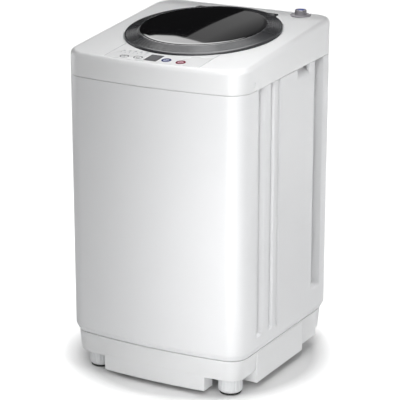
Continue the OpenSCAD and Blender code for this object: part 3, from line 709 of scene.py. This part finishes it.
# ---- lid
LID = DECK @ at(0, LID_Y)
LID_R, SHOULDER_R, RING_IN_R, LEDGE_R = 170.5, 168.5, 137.4, 129.4
SHOULDER_Z, RING_TOP_Z = 5, 11.8
GROOVE_TOP, GROOVE_FLOOR, GROOVE_DEPTH = 1.25, 0.8, 1.9
groove = []
for r in np.linspace(165.2, 141.2, 7):
    z = SHOULDER_Z + (SHOULDER_R - r) * (RING_TOP_Z - SHOULDER_Z) / (SHOULDER_R - RING_IN_R)
    groove += [(r + GROOVE_TOP, z - 0.15), (r + GROOVE_FLOOR, z - GROOVE_DEPTH),
               (r - GROOVE_FLOOR, z - GROOVE_DEPTH), (r - GROOVE_TOP, z + 0.27)]
ring_profile = [*rounded([(167.7, -1.5), (LID_R, -1.5), (LID_R, 3.6), (SHOULDER_R, SHOULDER_Z),
                          (162, 6.4)], [0, 0.5, 1.2, 1.0, 0], 4, closed=False)[:-1],
                *groove,
                *rounded([(139.4, 11.36), (RING_IN_R, RING_TOP_Z), (RING_IN_R, 9.2), (LEDGE_R, 9.2),
                          (LEDGE_R, 7), (142.2, 6.6), (142.2, -6), (144.6, -6), (144.6, 7.3),
                          (167.7, 2.4)], 0.4, 3, False)]
ring = turned("lid_ring_body", ring_profile, LID, 288, sharp=38)
HINGE = (168.5, -2.5)
lugs = []
for sx in (-1, 1):
    a = np.radians(np.linspace(-95, 75, 16))
    side = [(150, -5.8), (152.5, -6.6), *zip(HINGE[0] + 5 * np.cos(a), HINGE[1] + 5 * np.sin(a),
                                             strict=True), (160.5, 4.2), (152.5, 5.6), (150, 5.6)]
    lug = prism("lug", side, -14, 14, 1.0)
    place(lug, DECK @ at(sx * 84.0, 0) @ Matrix(((0, 0, 1, 0), (1, 0, 0, 0), (0, 1, 0, 0),
                                                 (0, 0, 0, 1))))
    lugs.append(lug)
bores = [prism("bore", circle(1.6, 24), -40, 40, 0, DECK @ at(sx * 84.0, *HINGE) @ SIDEWAYS)
         for sx in (-1, 1)]
lug_pair = cut(join("lug_pair", lugs), bores)
ring = join("lid_ring_moulding", [ring, lug_pair], 38)
show(ring, "lid_grey", "lid", "lid_ring")

r = np.r_[np.linspace(0, 133.4, 30), 135.0, 136.2, 136.8]
dome = 15.8 - 2.8 * (r / 134.4) ** 2
dome[-3:] = [12.85, 12.6, 12.0]
under = np.linspace(129.0, 0, 12)
window_profile = [*zip(r, dome, strict=True), (137, 11.4), (137, 9.6), (136.6, 9.25),
                  (130, 9.25), *zip(under, 12.6 - 3.1 * (under / 129.4) ** 2, strict=True)]
window = turned("lid_window_pane", window_profile, LID, 288, closed=False, sharp=50)
show(window, "window_smoke", "lid", "lid_window")

pins = []
for sx in (-1, 1):
    pin = turned("pin", rounded([(0, -18.5), (1.5, -18.5), (1.5, 18.5), (0, 18.5)],
                                [0, 0.3, 0.3, 0], 2, False), closed=False, segments=24)
    place(pin, DECK @ at(sx * 92.5, *HINGE) @ SIDEWAYS)
    pins.append(pin)
show(join("hinge_pins", pins), "shaft_steel", "cabinet", "lid_hinge_pins")


# ---- panel
def front_edge(x, inset):
    """The body's front edge in the deck's frame, moved back by an inset."""
    return (BOW_Y - np.sqrt((BOW_R - inset) ** 2 - np.asarray(x, float) ** 2)) / math.cos(TILT)


xs = np.linspace(FILM_LEFT, FILM_RIGHT, 61)
film_front = np.stack([xs, front_edge(xs, EDGE_R)], 1)
film_back = np.stack([xs[::-1], LID_Y - np.sqrt((SEAT_R + 1) ** 2 - xs[::-1] ** 2)], 1)
film_holes = [*key_holes, rect(DISPLAY_SIZE[0] + 0.2, DISPLAY_SIZE[1] + 0.2, DISPLAY_AT)]
film = sheet_with_holes("panel_film_sheet", np.concatenate([film_front, film_back]), film_holes,
                        0.02, 0.6, DECK)
show(film, "film_white", "cabinet", "panel_film")

# Thin grey strips along the film's two side edges: painted shade along the film sheet's edges, whose own
# edge is too thin to shade
edge_shade_lines = []
for x in (FILM_LEFT + 0.9, FILM_RIGHT - 0.9):
    y0, y1 = float(front_edge(x, EDGE_R)) + 1, LID_Y - math.sqrt((SEAT_R + 1) ** 2 - x * x) - 1
    edge_shade_lines.append(prism("line", rect(0.9, y1 - y0, (x, (y0 + y1) / 2)), 0.55, 0.66, 0, DECK))
show(join("film_side_shade_lines", edge_shade_lines), "film_white", "cabinet", mat=FILM_EDGE_SHADE)

display = prism("display_body", rounded(rect(*DISPLAY_SIZE, DISPLAY_AT), 1.5, 4), -3, 0.8, 0.25,
                DECK)
show(display, "display_black", "cabinet", "display_window")
inner = prism("display_pane", rounded(rect(DISPLAY_SIZE[0] - 6, DISPLAY_SIZE[1] - 7,
                                           (DISPLAY_AT[0] + 0.8, DISPLAY_AT[1] - 1.0)), 0.8, 3),
              0.5, 0.9, 0.1, DECK)
GLASS_GREY = material("display_grey", (0.04, 0.04, 0.045), rough=0.35, ior=1.2, bump=0.001)
show(inner, "display_black", "cabinet", mat=GLASS_GREY)


def key_stem(where):
    return turned("stem", [(0, -9.5), (3, -9.5), (3, -4.8), (0, -4.8)], DECK @ at(*where), 24,
                  closed=False)


def round_key(name, where, body, node, slot_name, ink):
    cap = turned(name + "_cap", rounded([(0, -5), (ROUND_R, -5), (ROUND_R, 0.95), (9.4, 0.95),
                                         (0, 0.8)], [0, 0.4, 0.5, 0.6, 0], 4, False),
                 DECK @ at(*where), 96, closed=False)
    show(join(name + "_cap", [cap, key_stem(where)]), slot_name, body, node)
    band = turned(name + "_band", rounded([(6.4, 0.8), (6.7, 1.2), (10.0, 1.38), (10.55, 0.8),
                                           (9.2, 0.5)], 0.1, 2), DECK @ at(*where), 96)
    show(band, slot_name, body, mat=ink)


round_key("start_button", START_AT, "start_key", "button_start", "button_blue", INK_BLUE)
round_key("power_button", POWER_AT, "power_key", "button_power", "button_red", INK_RED)


def mark(name, outlines, where, body, slot_name, ink, z0=0.78, z1=1.0):
    """Printed marks on a key or on the film."""
    parts = [prism(name, o, z0, z1, 0, DECK @ at(*where)) for o in outlines]
    return show(join(name, parts), slot_name, body, mat=ink)


mark("start_symbol", [[(-3.8, -2.6), (0.2, 0), (-3.8, 2.6)], rect(1.0, 5, (2.0, 0)),
                      rect(1.0, 5, (4.0, 0))], START_AT, "start_key", "button_blue", INK_BLUE)
arc_out = np.radians(np.linspace(125, 415, 30))
power_arc = np.concatenate([np.stack([3.6 * np.cos(arc_out), 3.6 * np.sin(arc_out)], 1),
                            np.stack([2.7 * np.cos(arc_out[::-1]), 2.7 * np.sin(arc_out[::-1])], 1)])
mark("power_symbol", [power_arc, rect(0.9, 3.6, (0, 2.6))], POWER_AT, "power_key", "button_red",
     INK_RED)


def oval_key(name, where, body, node, symbol):
    cap = prism(name + "_cap", oval(*OVAL), -5, 1.15, 0.5, DECK @ at(*where))
    show(join(name + "_cap", [cap, key_stem(where)]), "button_white", body, node)
    line = sheet_with_holes(name + "_line", oval(OVAL[0] - 1.2, OVAL[1] - 1.2),
                            [oval(OVAL[0] - 5.4, OVAL[1] - 5.4)], 1.1, 1.2, DECK @ at(*where))
    show(line, "button_white", body, mat=INK)
    mark(name + "_symbol", symbol, where, body, "button_white", INK, 1.1, 1.2)


oval_key("program_button", PROGRAM_AT, "program_key", "button_program",
         [rect(6, 0.8, (0, 2.4)), rect(6, 0.8, (0, 0)), rect(6, 0.8, (0, -2.4))])
oval_key("level_button", LEVEL_AT, "level_key", "button_water_level",
         [rect(0.8, 6, (-3, 0)), rect(0.8, 6, (3, 0)), rect(6, 0.8, (0, -2.8)),
          rect(4.4, 0.7, (0, -0.6))])

legend = [rect(0.9, 2.6, (-92 + i * 9.6, -176.4 + i * 0.55)) for i in range(7)]
legend += [rect(5.4, 1.0, (-90 + i * 13.5, -165.6 + i * 0.75)) for i in range(5)]
mark("panel_legend", legend, (0, 0), "cabinet", "film_white", INK_GREY, 0.6, 0.68)

lamps = []
for i in range(7):
    lamps.append(turned("dot", rounded([(0, 0.3), (1, 0.3), (1, 0.7), (0, 0.8)], [0, 0, 0.2, 0], 2,
                                       False), DECK @ at(-92 + i * 9.6, -180.3 + i * 0.55), 20,
                        closed=False))
for i in range(5):
    lamps.append(prism("bar", oval(7, 2.6), 0.3, 0.78, 0.2, DECK @ at(-90 + i * 13.5,
                                                                     -169.2 + i * 0.75)))
show(join("lamp_lenses", lamps), "led_clear", "cabinet", "led_lenses")

caps = []
for sx in (-1, 1):
    cap = turned("cap", rounded([(0, -1.85), (5.85, -1.85), (5.85, 1.3), (4.2, 1.75), (3.2, 1.2),
                                 (0, 1.2)], [0, 0.3, 0.6, 0.3, 0.4, 0], 3, False),
                 Matrix.Translation((sx * (HALF_W - 2.05), *SCREW_AT))
                 @ Matrix.Rotation(sx * math.pi / 2, 4, "Y"), 48, closed=False)
    caps.append(cap)
show(join("screw_caps", caps), "cover_white", "cabinet", "side_screw_caps")


# ---- base and feet
def inset_loop(points, d):
    """A closed outline moved inwards by d."""
    p = np.asarray(points, float)
    e = np.roll(p, -1, 0) - p
    nrm = np.stack([e[:, 1], -e[:, 0]], 1) / np.linalg.norm(e, axis=1)[:, None]
    both = nrm + np.roll(nrm, 1, 0)
    return p - d * both / np.maximum((both * nrm).sum(1), 0.3)[:, None]


def open_box(name, loop, z_top, z_bottom):
    """A skirt: a box open at the bottom, with rounded lower edges."""
    t = SKIRT_WALL
    steps = [(0.8, z_top), (0, z_top - 0.8), (0, z_bottom + 2.2), (0.25, z_bottom + 1.1),
             (0.9, z_bottom + 0.3), (1.8, z_bottom), (t - 0.8, z_bottom), (t, z_bottom + 0.8),
             (t, z_top - t)]
    return loft(name, [np.c_[inset_loop(loop, i), np.full(len(loop), z)] for i, z in steps],
                caps=True, sharp=35)


BASE_TOP, BASE_Z, BASE_HOLE, BOSS_R, SKIRT_WALL = CABINET_Z, CABINET_Z - 48.0, 125.0, 13.0, 4.0
FEET = [(-FRONT_FOOT[0], FRONT_FOOT[1]), FRONT_FOOT, (-REAR_FOOT[0], REAR_FOOT[1]), REAR_FOOT]
base_rings = [(13.5, BASE_TOP - 0.1), (13.5, BASE_TOP - 1.3), (8.7, BASE_TOP - 1.7),
              (8.4, BASE_TOP - 2.4), (8.6, BASE_TOP - 8), (11.7, BASE_Z + 6),
              (12.4, BASE_Z + 2.6), (13.8, BASE_Z + 0.7), (16, BASE_Z)]
rings = [ring_at(polar_radius(i), z) for i, z in base_rings]
outer = rings[-1]
hole_ring = ring_at(BASE_HOLE + 1.0, BASE_Z)
rings += [outer * (1 - f) + hole_ring * f for f in (0.33, 0.66, 1.0)]
rings += [ring_at(BASE_HOLE, BASE_Z + 1),
          ring_at(BASE_HOLE, BASE_Z + 4)]
inner_wall = ring_at(polar_radius(18), BASE_Z + 4)
rings += [rings[-1] * (1 - f) + inner_wall * f for f in (0.33, 0.66, 1.0)]
rings += [ring_at(polar_radius(16.5), BASE_TOP - 0.1)]
for ring_points in rings:
    ring_points[:, 1] = np.clip(ring_points[:, 1], -HALF_D, HALF_D)
base = loft("base_band", rings, along=True, sharp=35)
drill = [prism("drill", circle(5.2, 32), BASE_Z - 5, BASE_Z + 10, 0, at(x, y)) for x, y in FEET]
cut(base, [join("drills", drill)], 35)

SKIRT_X = 125.0
xs = np.linspace(-SKIRT_X, SKIRT_X, 33)
front_y = BOW_Y - np.sqrt((BOW_R - 11.5) ** 2 - xs**2)
front_loop = np.concatenate([[(SKIRT_X, -172.0), (-SKIRT_X, -172.0)], np.stack([xs, front_y], 1)])
parts = [base, open_box("front_skirt", front_loop, BASE_Z + 7, corner("base_frame", 0)[2])]


def side_box(sx, y0, y1, x_in, x_out, low):
    """One stretch of the skirt under a side."""
    loop = rounded([(sx * x_in, y0), (sx * x_out, y0), (sx * x_out, y1), (sx * x_in, y1)][::sx], 2, 3)
    return open_box("side_skirt", loop, BASE_TOP - 4, low)


for sx in (-1, 1):
    parts.append(side_box(sx, -121, 98, 170, HALF_W - 7.8, 14))
    parts.append(side_box(sx, 97.5, 166, 174.5, HALF_W - 8.1, 28))
for x, y in FEET:
    parts.append(turned("boss", rounded([(5.3, BASE_Z + 3), (BOSS_R, BASE_Z + 3),
                                         (BOSS_R, 78), (5.3, 78)], [0, 0, 1, 0.4], 3), at(x, y), 48))
show(join("base_moulding", parts, 35), "base_white", "cabinet", "base_frame")

FOOT_R = 26.4


def thread(pitch, depth, r_min, r_max):
    """A ring bend that puts a screw thread on the part of a profile between two radii."""
    def bend(r, z, a):
        wave = (z / pitch - a / (2 * math.pi)) % 1
        tooth = depth * (1 - np.abs(2 * wave - 1))
        on = (r > r_min) & (r < r_max)
        return np.where(on, r - depth + tooth, r), z
    return bend


def foot_flutes(r, z, a):
    dent = 1.5 * smooth(0.25, 1.0, np.cos(18 * a)) * smooth(7.5, 11, z)
    return np.where(r > FOOT_R - 1.2, r - dent, r), z


def make_foot(x, y):
    grip = turned("grip", rounded(
        [(0, 8), (18, 8), (18, 5), (23.6, 5), (FOOT_R, 8.6), (FOOT_R, 39), (5.0, 39), (0, 39)],
        [0, 0, 0.5, 0.8, 1.0, 1.6, 0, 0], 4, False), at(x, y), 216, False, 35, foot_flutes)
    zs = np.arange(38.7, 70.6, 0.35)
    stud = turned("stud", [(0, 38), *[(4.98, z) for z in zs], (4.0, 71.8), (0, 72)], at(x, y), 32,
                  False, 35, thread(1.75, 0.5, 4.5, 5.2))
    return join("foot", [grip, stud], 35)


def make_pad(x, y):
    return turned("pad", [(0, 0.6), (6, 0.6), *rounded([(7, 0), (FOOT_R - 3.5, 0), (FOOT_R - 2, 5),
                                                       (17.9, 5), (17.9, 8)],
                                                      [0.4, 0.8, 0.4, 0, 0.4], 3, False), (0, 8)],
                  at(x, y), 96, False)


for (x, y), side in zip(FEET[:2], ("left", "right"), strict=True):
    foot = make_foot(x, y)
    foot.name = "front_foot_" + side
    show(foot, "foot_white", side + "_foot", "foot_front_" + side)
    pad = make_pad(x, y)
    pad.name = "front_pad_" + side
    show(pad, "black_rubber", side + "_foot", "foot_pad_front_" + side)
show(join("rear_foot_pair", [make_foot(*p) for p in FEET[2:]], 35), "foot_white", "cabinet", "rear_feet")
show(join("rear_pad_pair", [make_pad(*p) for p in FEET[2:]]), "black_rubber", "cabinet",
     "rear_foot_pads")


# ---- water inlet
INLET_Z = DECK_Z0 + DECK_RISE * (LEVEL_Y + HALF_D)
INLET_R = 13.2
zs = np.arange(INLET_Z + 4.8, INLET_Z + 12.6, 0.25)
inlet_profile = [*rounded([(9.5, 728), (12, 728), (12, INLET_Z + 0.05), (22.5, INLET_Z + 0.05),
                           (22.5, INLET_Z + 2.6), (21.5, INLET_Z + 3.4), (14.4, INLET_Z + 3.4),
                           (14.4, INLET_Z + 4.4)], [0, 0.4, 0, 0.4, 0.4, 0.6, 0, 0.4], 3, False),
                 (12.5, INLET_Z + 4.5), *[(INLET_R, z) for z in zs], (12.4, INLET_Z + 13.0),
                 (11.9, INLET_Z + 13.9), (10.2, INLET_Z + 14), (9.6, INLET_Z + 13.6),
                 (9.5, INLET_Z + 12)]
inlet = turned("inlet_body", inlet_profile, at(*INLET_AT), 96, True, 35,
               thread(1.8, 0.95, 13.0, 13.4))
show(inlet, "inlet_grey", "cabinet", "inlet_connector")
FILTER_TOP = corner("inlet_filter", 1)[2]
mesh_holes = [circle(0.55, 8, (x, y)) for x in np.arange(-5.4, 5.5, 1.8)
              for y in np.arange(-5.4, 5.5, 1.8) if math.hypot(x, y) < 5.9]
parts = [turned("filter_ring", rounded([(6.6, INLET_Z + 2), (9.35, INLET_Z + 2),
                                        (9.35, FILTER_TOP), (6.6, FILTER_TOP)], 0.4, 3),
                at(*INLET_AT), 64),
         sheet_with_holes("filter_mesh", circle(7.0, 48), mesh_holes, FILTER_TOP - 1.6,
                          FILTER_TOP - 0.9, at(*INLET_AT))]
show(join("inlet_strainer", parts), "filter_blue", "cabinet", "inlet_filter")


# ---- basket and pulsator
TUB = at(0, TUB_Y)
BASKET_R = corner("spin_basket", 1)[0]
BASKET_LOW, BASKET_HIGH = corner("spin_basket", 0)[2], corner("spin_basket", 1)[2]
ROWS, COLUMNS, HOLE_R = 26, 88, 2.6


def perforated_sheet():
    """The basket's wall: a rolled sheet with a staggered pattern of round holes."""
    pitch_a = 2 * math.pi / COLUMNS
    zs = np.linspace(BASKET_LOW, BASKET_HIGH, ROWS + 1)
    verts, faces = [], []
    for z in zs:
        for i in range(COLUMNS):
            verts.append((BASKET_R * math.cos(i * pitch_a), BASKET_R * math.sin(i * pitch_a), z))
    for j in range(ROWS):
        for i in range(COLUMNS):
            m = (i + 1) % COLUMNS
            low, high = j * COLUMNS, (j + 1) * COLUMNS
            cell = [low + i, low + m, high + m, high + i]
            if (i + j) % 2 or j < 2 or j > ROWS - 3:
                faces.append(tuple(cell))
                continue
            first = len(verts)
            for q in range(8):
                turn = math.radians(-112.5 + 45 * q)
                a = (i + 0.5) * pitch_a + HOLE_R * math.cos(turn) / BASKET_R
                verts.append((BASKET_R * math.cos(a), BASKET_R * math.sin(a),
                              (zs[j] + zs[j + 1]) / 2 + HOLE_R * math.sin(turn)))
            for q in range(4):
                a, b, c = first + 2 * q, first + 2 * q + 1, first + (2 * q + 2) % 8
                faces.append((cell[q], cell[(q + 1) % 4], b, a))
                faces.append((cell[(q + 1) % 4], c, b))
    sheet = new_object("basket_sheet", verts, faces, 25)
    return place(thicken(sheet, 0.9, 40), TUB)


show(perforated_sheet(), "basket_steel", "basket", "spin_basket")

PULSATOR_R, HUB_R = corner("pulsator", 1)[0], 7.95
PULSATOR_Z = corner("pulsator", 0)[2]


def fins(r, z, a):
    """Six swept fins on the top of the pulsator."""
    swing = 0.5 * (r / PULSATOR_R) ** 2
    crest = smooth(0.25, 0.95, np.cos(6 * (a - swing)))
    span = smooth(18, 34, r) * (1 - smooth(68, 80, r))
    top = z > PULSATOR_Z + 7
    return r + 0 * a, z + np.where(top, 8.5 * crest * span, 0)


top_r = np.linspace(PULSATOR_R - 2, HUB_R + 1, 30)
top_z = np.interp(top_r, [8, 24, 40, 83], [PULSATOR_Z + 20.8, PULSATOR_Z + 19, PULSATOR_Z + 11,
                                           PULSATOR_Z + 8])
disc = turned("pulsator_disc", [(HUB_R, PULSATOR_Z), (PULSATOR_R - 6, PULSATOR_Z),
                                (PULSATOR_R - 0.6, PULSATOR_Z + 4.6), (PULSATOR_R, PULSATOR_Z + 5.4),
                                (PULSATOR_R - 0.4, PULSATOR_Z + 6.6),
                                *zip(top_r, top_z, strict=True), (HUB_R, PULSATOR_Z + 20.9)],
              TUB, 180, True, 40, fins)
show(disc, "pulsator_plastic", "pulsator", "pulsator")


def lint_bag():
    """A soft mesh bag on a clipped frame, inside the basket's rear wall."""
    low, high = corner("lint_filter", 0), corner("lint_filter", 1)
    mid_x, mid_z = (low[0] + high[0]) / 2, (low[2] + high[2]) / 2
    w, h = high[0] - low[0], high[2] - low[2]
    frame_plate = sheet_with_holes("filter_frame", rounded(rect(w, h), 8, 6),
                                   [rounded(rect(w - 9, h - 11), 5, 6)], 0, 2.4)
    bevel(frame_plate, 0.5, 2)
    u, v = np.meshgrid(np.linspace(-1, 1, 25), np.linspace(-1, 1, 33))
    crown = (1 - u**4) * (1 - v**4)
    wrinkle = 0.5 * np.sin(9 * v + 2 * u) * crown
    bag = np.stack([u * (w / 2 - 4), v * (h / 2 - 5), 1 + 7.4 * crown + wrinkle], 2)
    skin = loft("filter_bag", bag, around=False, sharp=60)
    thicken(skin, 0.5, 60)
    where = at(mid_x, high[1], mid_z) @ Matrix.Rotation(math.pi / 2, 4, "X")
    show(place(frame_plate, where), "filter_bag", "basket", "lint_filter")
    show(place(skin, where), "filter_bag", "basket")


lint_bag()


# ---- springs and hoses
def stretch(obj, slot, node, body, other, start, end):
    """Finishes a piece that runs from one body to another: its material and the CAD node that it stands
    for, with its placement baked in; body, other, start and end are not used.
    """
    obj.data.materials.append(MATS[slot])
    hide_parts(node)
    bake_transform(obj)


ROD = corner("suspension_rods", 1)[0] - 13.0
SPRING_LOW, SPRING_HIGH = corner("suspension_springs", 0)[2], corner("suspension_springs", 1)[2]
COIL_R, WIRE_R, COILS = 8.9, 1.55, 9
coil_t = np.linspace(0, 1, COILS * 16 + 1)
for index, (sx, sy) in enumerate([(-1, -1), (1, -1), (-1, 1), (1, 1)]):
    turn = 2 * math.pi * COILS * coil_t
    rise = SPRING_LOW + WIRE_R + (SPRING_HIGH - SPRING_LOW - 2 * WIRE_R) * coil_t
    coil = tube(f"spring_{index + 1}", np.stack([sx * ROD + COIL_R * np.cos(turn),
                                                 TUB_Y + sy * ROD + COIL_R * np.sin(turn), rise], 1),
                WIRE_R, 8)
    stretch(coil, "zinc_steel", "suspension_springs", "cabinet", "tub", (0, 0, SPRING_LOW),
            (0, 0, SPRING_HIGH))


def ribbed(name, points, r, pitch, depth):
    """A corrugated hose through a few points, plain at both ends."""
    path = smooth_path(points, 160)
    run = np.r_[0, np.cumsum(np.linalg.norm(np.diff(path, axis=0), axis=1))]
    step = np.arange(0, run[-1], pitch / 6)
    path = np.stack([np.interp(step, run, path[:, i]) for i in range(3)], 1)
    cuff = smooth(10, 12, step) * (1 - smooth(run[-1] - 12, run[-1] - 10, step))
    wave = 0.5 + 0.5 * np.cos(2 * math.pi * step / pitch)
    return tube(name, path, r - depth * cuff * wave, 24)


valve_port = np.array([95.0, 142.0, 168.0])
hose = ribbed("drain_hose_skin", [valve_port, (95, 158, 167), (105, 170, 150),
                                  (DRAIN_AT[0], 180, DRAIN_AT[1] + 2),
                                  (DRAIN_AT[0], 194.5, DRAIN_AT[1])], 10.9, 5.0, 1.3)
stretch(hose, "black_rubber", "drain_hose", "tub", "cabinet", valve_port,
        (DRAIN_AT[0], 190, DRAIN_AT[1]))


# ---- the other parts, from the CAD
SLOT_OF = {part["node"]: part["material_slot"] for part in record["subparts"]}
EDGE_OF = {"outer_tub": 0.6, "basket_base": 0.8, "balance_ring": 1.2, "tub_ring": 0.5,
           "bearing_housing": 0.8, "motor": 1.0, "rear_panel": 0.4, "control_box": 0.6}
for name, obj in frame["nodes"].items():
    obj.data.materials.clear()
    obj.data.materials.append(MATS[SLOT_OF[name]])
    if not obj.hide_render:
        bevel(obj, EDGE_OF.get(name, 0.25), 2, 35)


# ---- camera and light
scene = bpy.context.scene
TARGET = Vector((-0.0025, 0, 0.3622))
AZIMUTH, ELEVATION, DISTANCE = math.radians(29.456), math.radians(17.117), 3.9157
back = Vector((math.cos(ELEVATION) * math.sin(AZIMUTH), -math.cos(ELEVATION) * math.cos(AZIMUTH),
               math.sin(ELEVATION)))
camera_data = bpy.data.cameras.new("camera")
camera_data.lens = 159.67
camera_data.sensor_width = 36
camera = bpy.data.objects.new("camera", camera_data)
camera.location = TARGET + back * DISTANCE
camera.rotation_euler = back.to_track_quat("Z", "Y").to_euler()
scene.collection.objects.link(camera)
scene.camera = camera

# Seen by the camera, the floor goes from a shadow under the machine to plain white around it
SHADE_R, WHITE_R = 0.25, 0.35
floor = prism("floor", rect(12, 12) / MM, -20, 0, 0)
floor_mat = material("floor_white", (0.8, 0.8, 0.8), rough=0.9, bump=0.002, vary=0.004)
tree = floor_mat.node_tree
away = wire(tree, "VectorMath", {0: wire(tree, "TexCoord").outputs["Object"]}, operation="LENGTH")
fade = wire(tree, "MapRange", {"Value": away.outputs["Value"], "From Min": SHADE_R, "From Max": WHITE_R})
glow = wire(tree, "Math", {0: wire(tree, "LightPath").outputs["Is Camera Ray"],
                           1: fade.outputs["Result"]}, operation="MULTIPLY")
shader = tree.nodes["Principled BSDF"]
shader.inputs["Emission Color"].default_value = (1, 1, 1, 1)
tree.links.new(glow.outputs[0], shader.inputs["Emission Strength"])
floor.data.materials.append(floor_mat)

AIM = Vector((0, 0, 0.4))


def area_light(name, where, size, power):
    """A softbox aimed at the middle of the machine, out of the camera's sight."""
    data = bpy.data.lights.new(name, "AREA")
    data.shape = "RECTANGLE"
    data.size, data.size_y = size
    data.energy = power
    obj = bpy.data.objects.new(name, data)
    obj.location = where
    obj.rotation_euler = (Vector(where) - AIM).to_track_quat("Z", "Y").to_euler()
    obj.visible_camera = False
    scene.collection.objects.link(obj)
    return obj


area_light("key_softbox", (0.375, -0.66, 0.3), (0.5, 1.1), 4.55)
rear_light = area_light("rear_softbox", (1.35, 2.15, 0.3), (0.8, 0.8), 50)
rear_light.visible_glossy = False  # it lights the side evenly, without a bright patch
area_light("left_softbox", (-1.59, -0.17, 0.7), (0.8, 0.8), 9)
area_light("top_softbox", (0.36, -0.34, 1.32), (0.4, 0.4), 4.0)

# The room: even light for matt surfaces. Gloss reflects a dark wall instead, with a grey panel and a
# lit sill, which is brighter deep inside it. Planes through the room's middle cut them out.
AMBIENT, DARK_WALL, EDGE, PANEL_FADE = 0.05, 0.02, 0.0012, 0.75
PANEL_SIDE, PANEL_LIGHT = (0.8518, 0.3012, 0.4285), 0.45
SILL_SIDES = [(0.3687, -0.2366, 0.899), (-0.3318, -0.6156, 0.7148), (-0.6167, -0.6505, 0.4433)]
SILL_LIGHT, LOFT_LIGHT = 3.0, 5.0
world = bpy.data.worlds.new("studio")
scene.world = world
world.use_nodes = True
tree = world.node_tree
tree.nodes.clear()
direction = wire(tree, "TexCoord").outputs["Generated"]


def half_space(normal, start, end, strength):
    """Light from the directions on one side of a plane, rising from start to end past it."""
    dot = wire(tree, "VectorMath", {0: direction, 1: normal}, operation="DOT_PRODUCT")
    return wire(tree, "MapRange", {"Value": dot.outputs["Value"], "From Min": start, "From Max": end,
                                   "To Max": strength}).outputs["Result"]


def combine(operation, a, b):
    return wire(tree, "Math", {0: a, 1: b}, operation=operation).outputs[0]


def background(color, strength):
    return wire(tree, "Background", {"Color": color, "Strength": strength}).outputs[0]


def choose(switch, off, on):
    return wire(tree, "MixShader", {0: switch, 1: off, 2: on}).outputs[0]


panel = combine("SUBTRACT", half_space(PANEL_SIDE, 0, EDGE, PANEL_LIGHT),
                half_space(PANEL_SIDE, 0.025, 0.06, PANEL_LIGHT * PANEL_FADE))
edges = [half_space(side, 0, EDGE, 1.0) for side in SILL_SIDES]
inside = combine("MINIMUM", combine("MINIMUM", edges[0], edges[1]), edges[2])
sill = combine("SUBTRACT", SILL_LIGHT, half_space(SILL_SIDES[1], 0.03, 0.06, SILL_LIGHT - LOFT_LIGHT))
sill = combine("MULTIPLY", sill, inside)
sill = combine("MULTIPLY", sill, half_space(PANEL_SIDE, -0.09, -0.055, 1.0))
gloss = combine("ADD", combine("MAXIMUM", panel, sill), DARK_WALL)
path = wire(tree, "LightPath")
room = choose(path.outputs["Is Glossy Ray"], background((0.98, 0.99, 1, 1), AMBIENT),
              background((1, 1, 1, 1), gloss))
shown = choose(path.outputs["Is Camera Ray"], room, background((1, 1, 1, 1), 1.0))
wire(tree, "OutputWorld", {0: shown})
scene.view_settings.view_transform = "Standard"
scene.view_settings.look = "None"
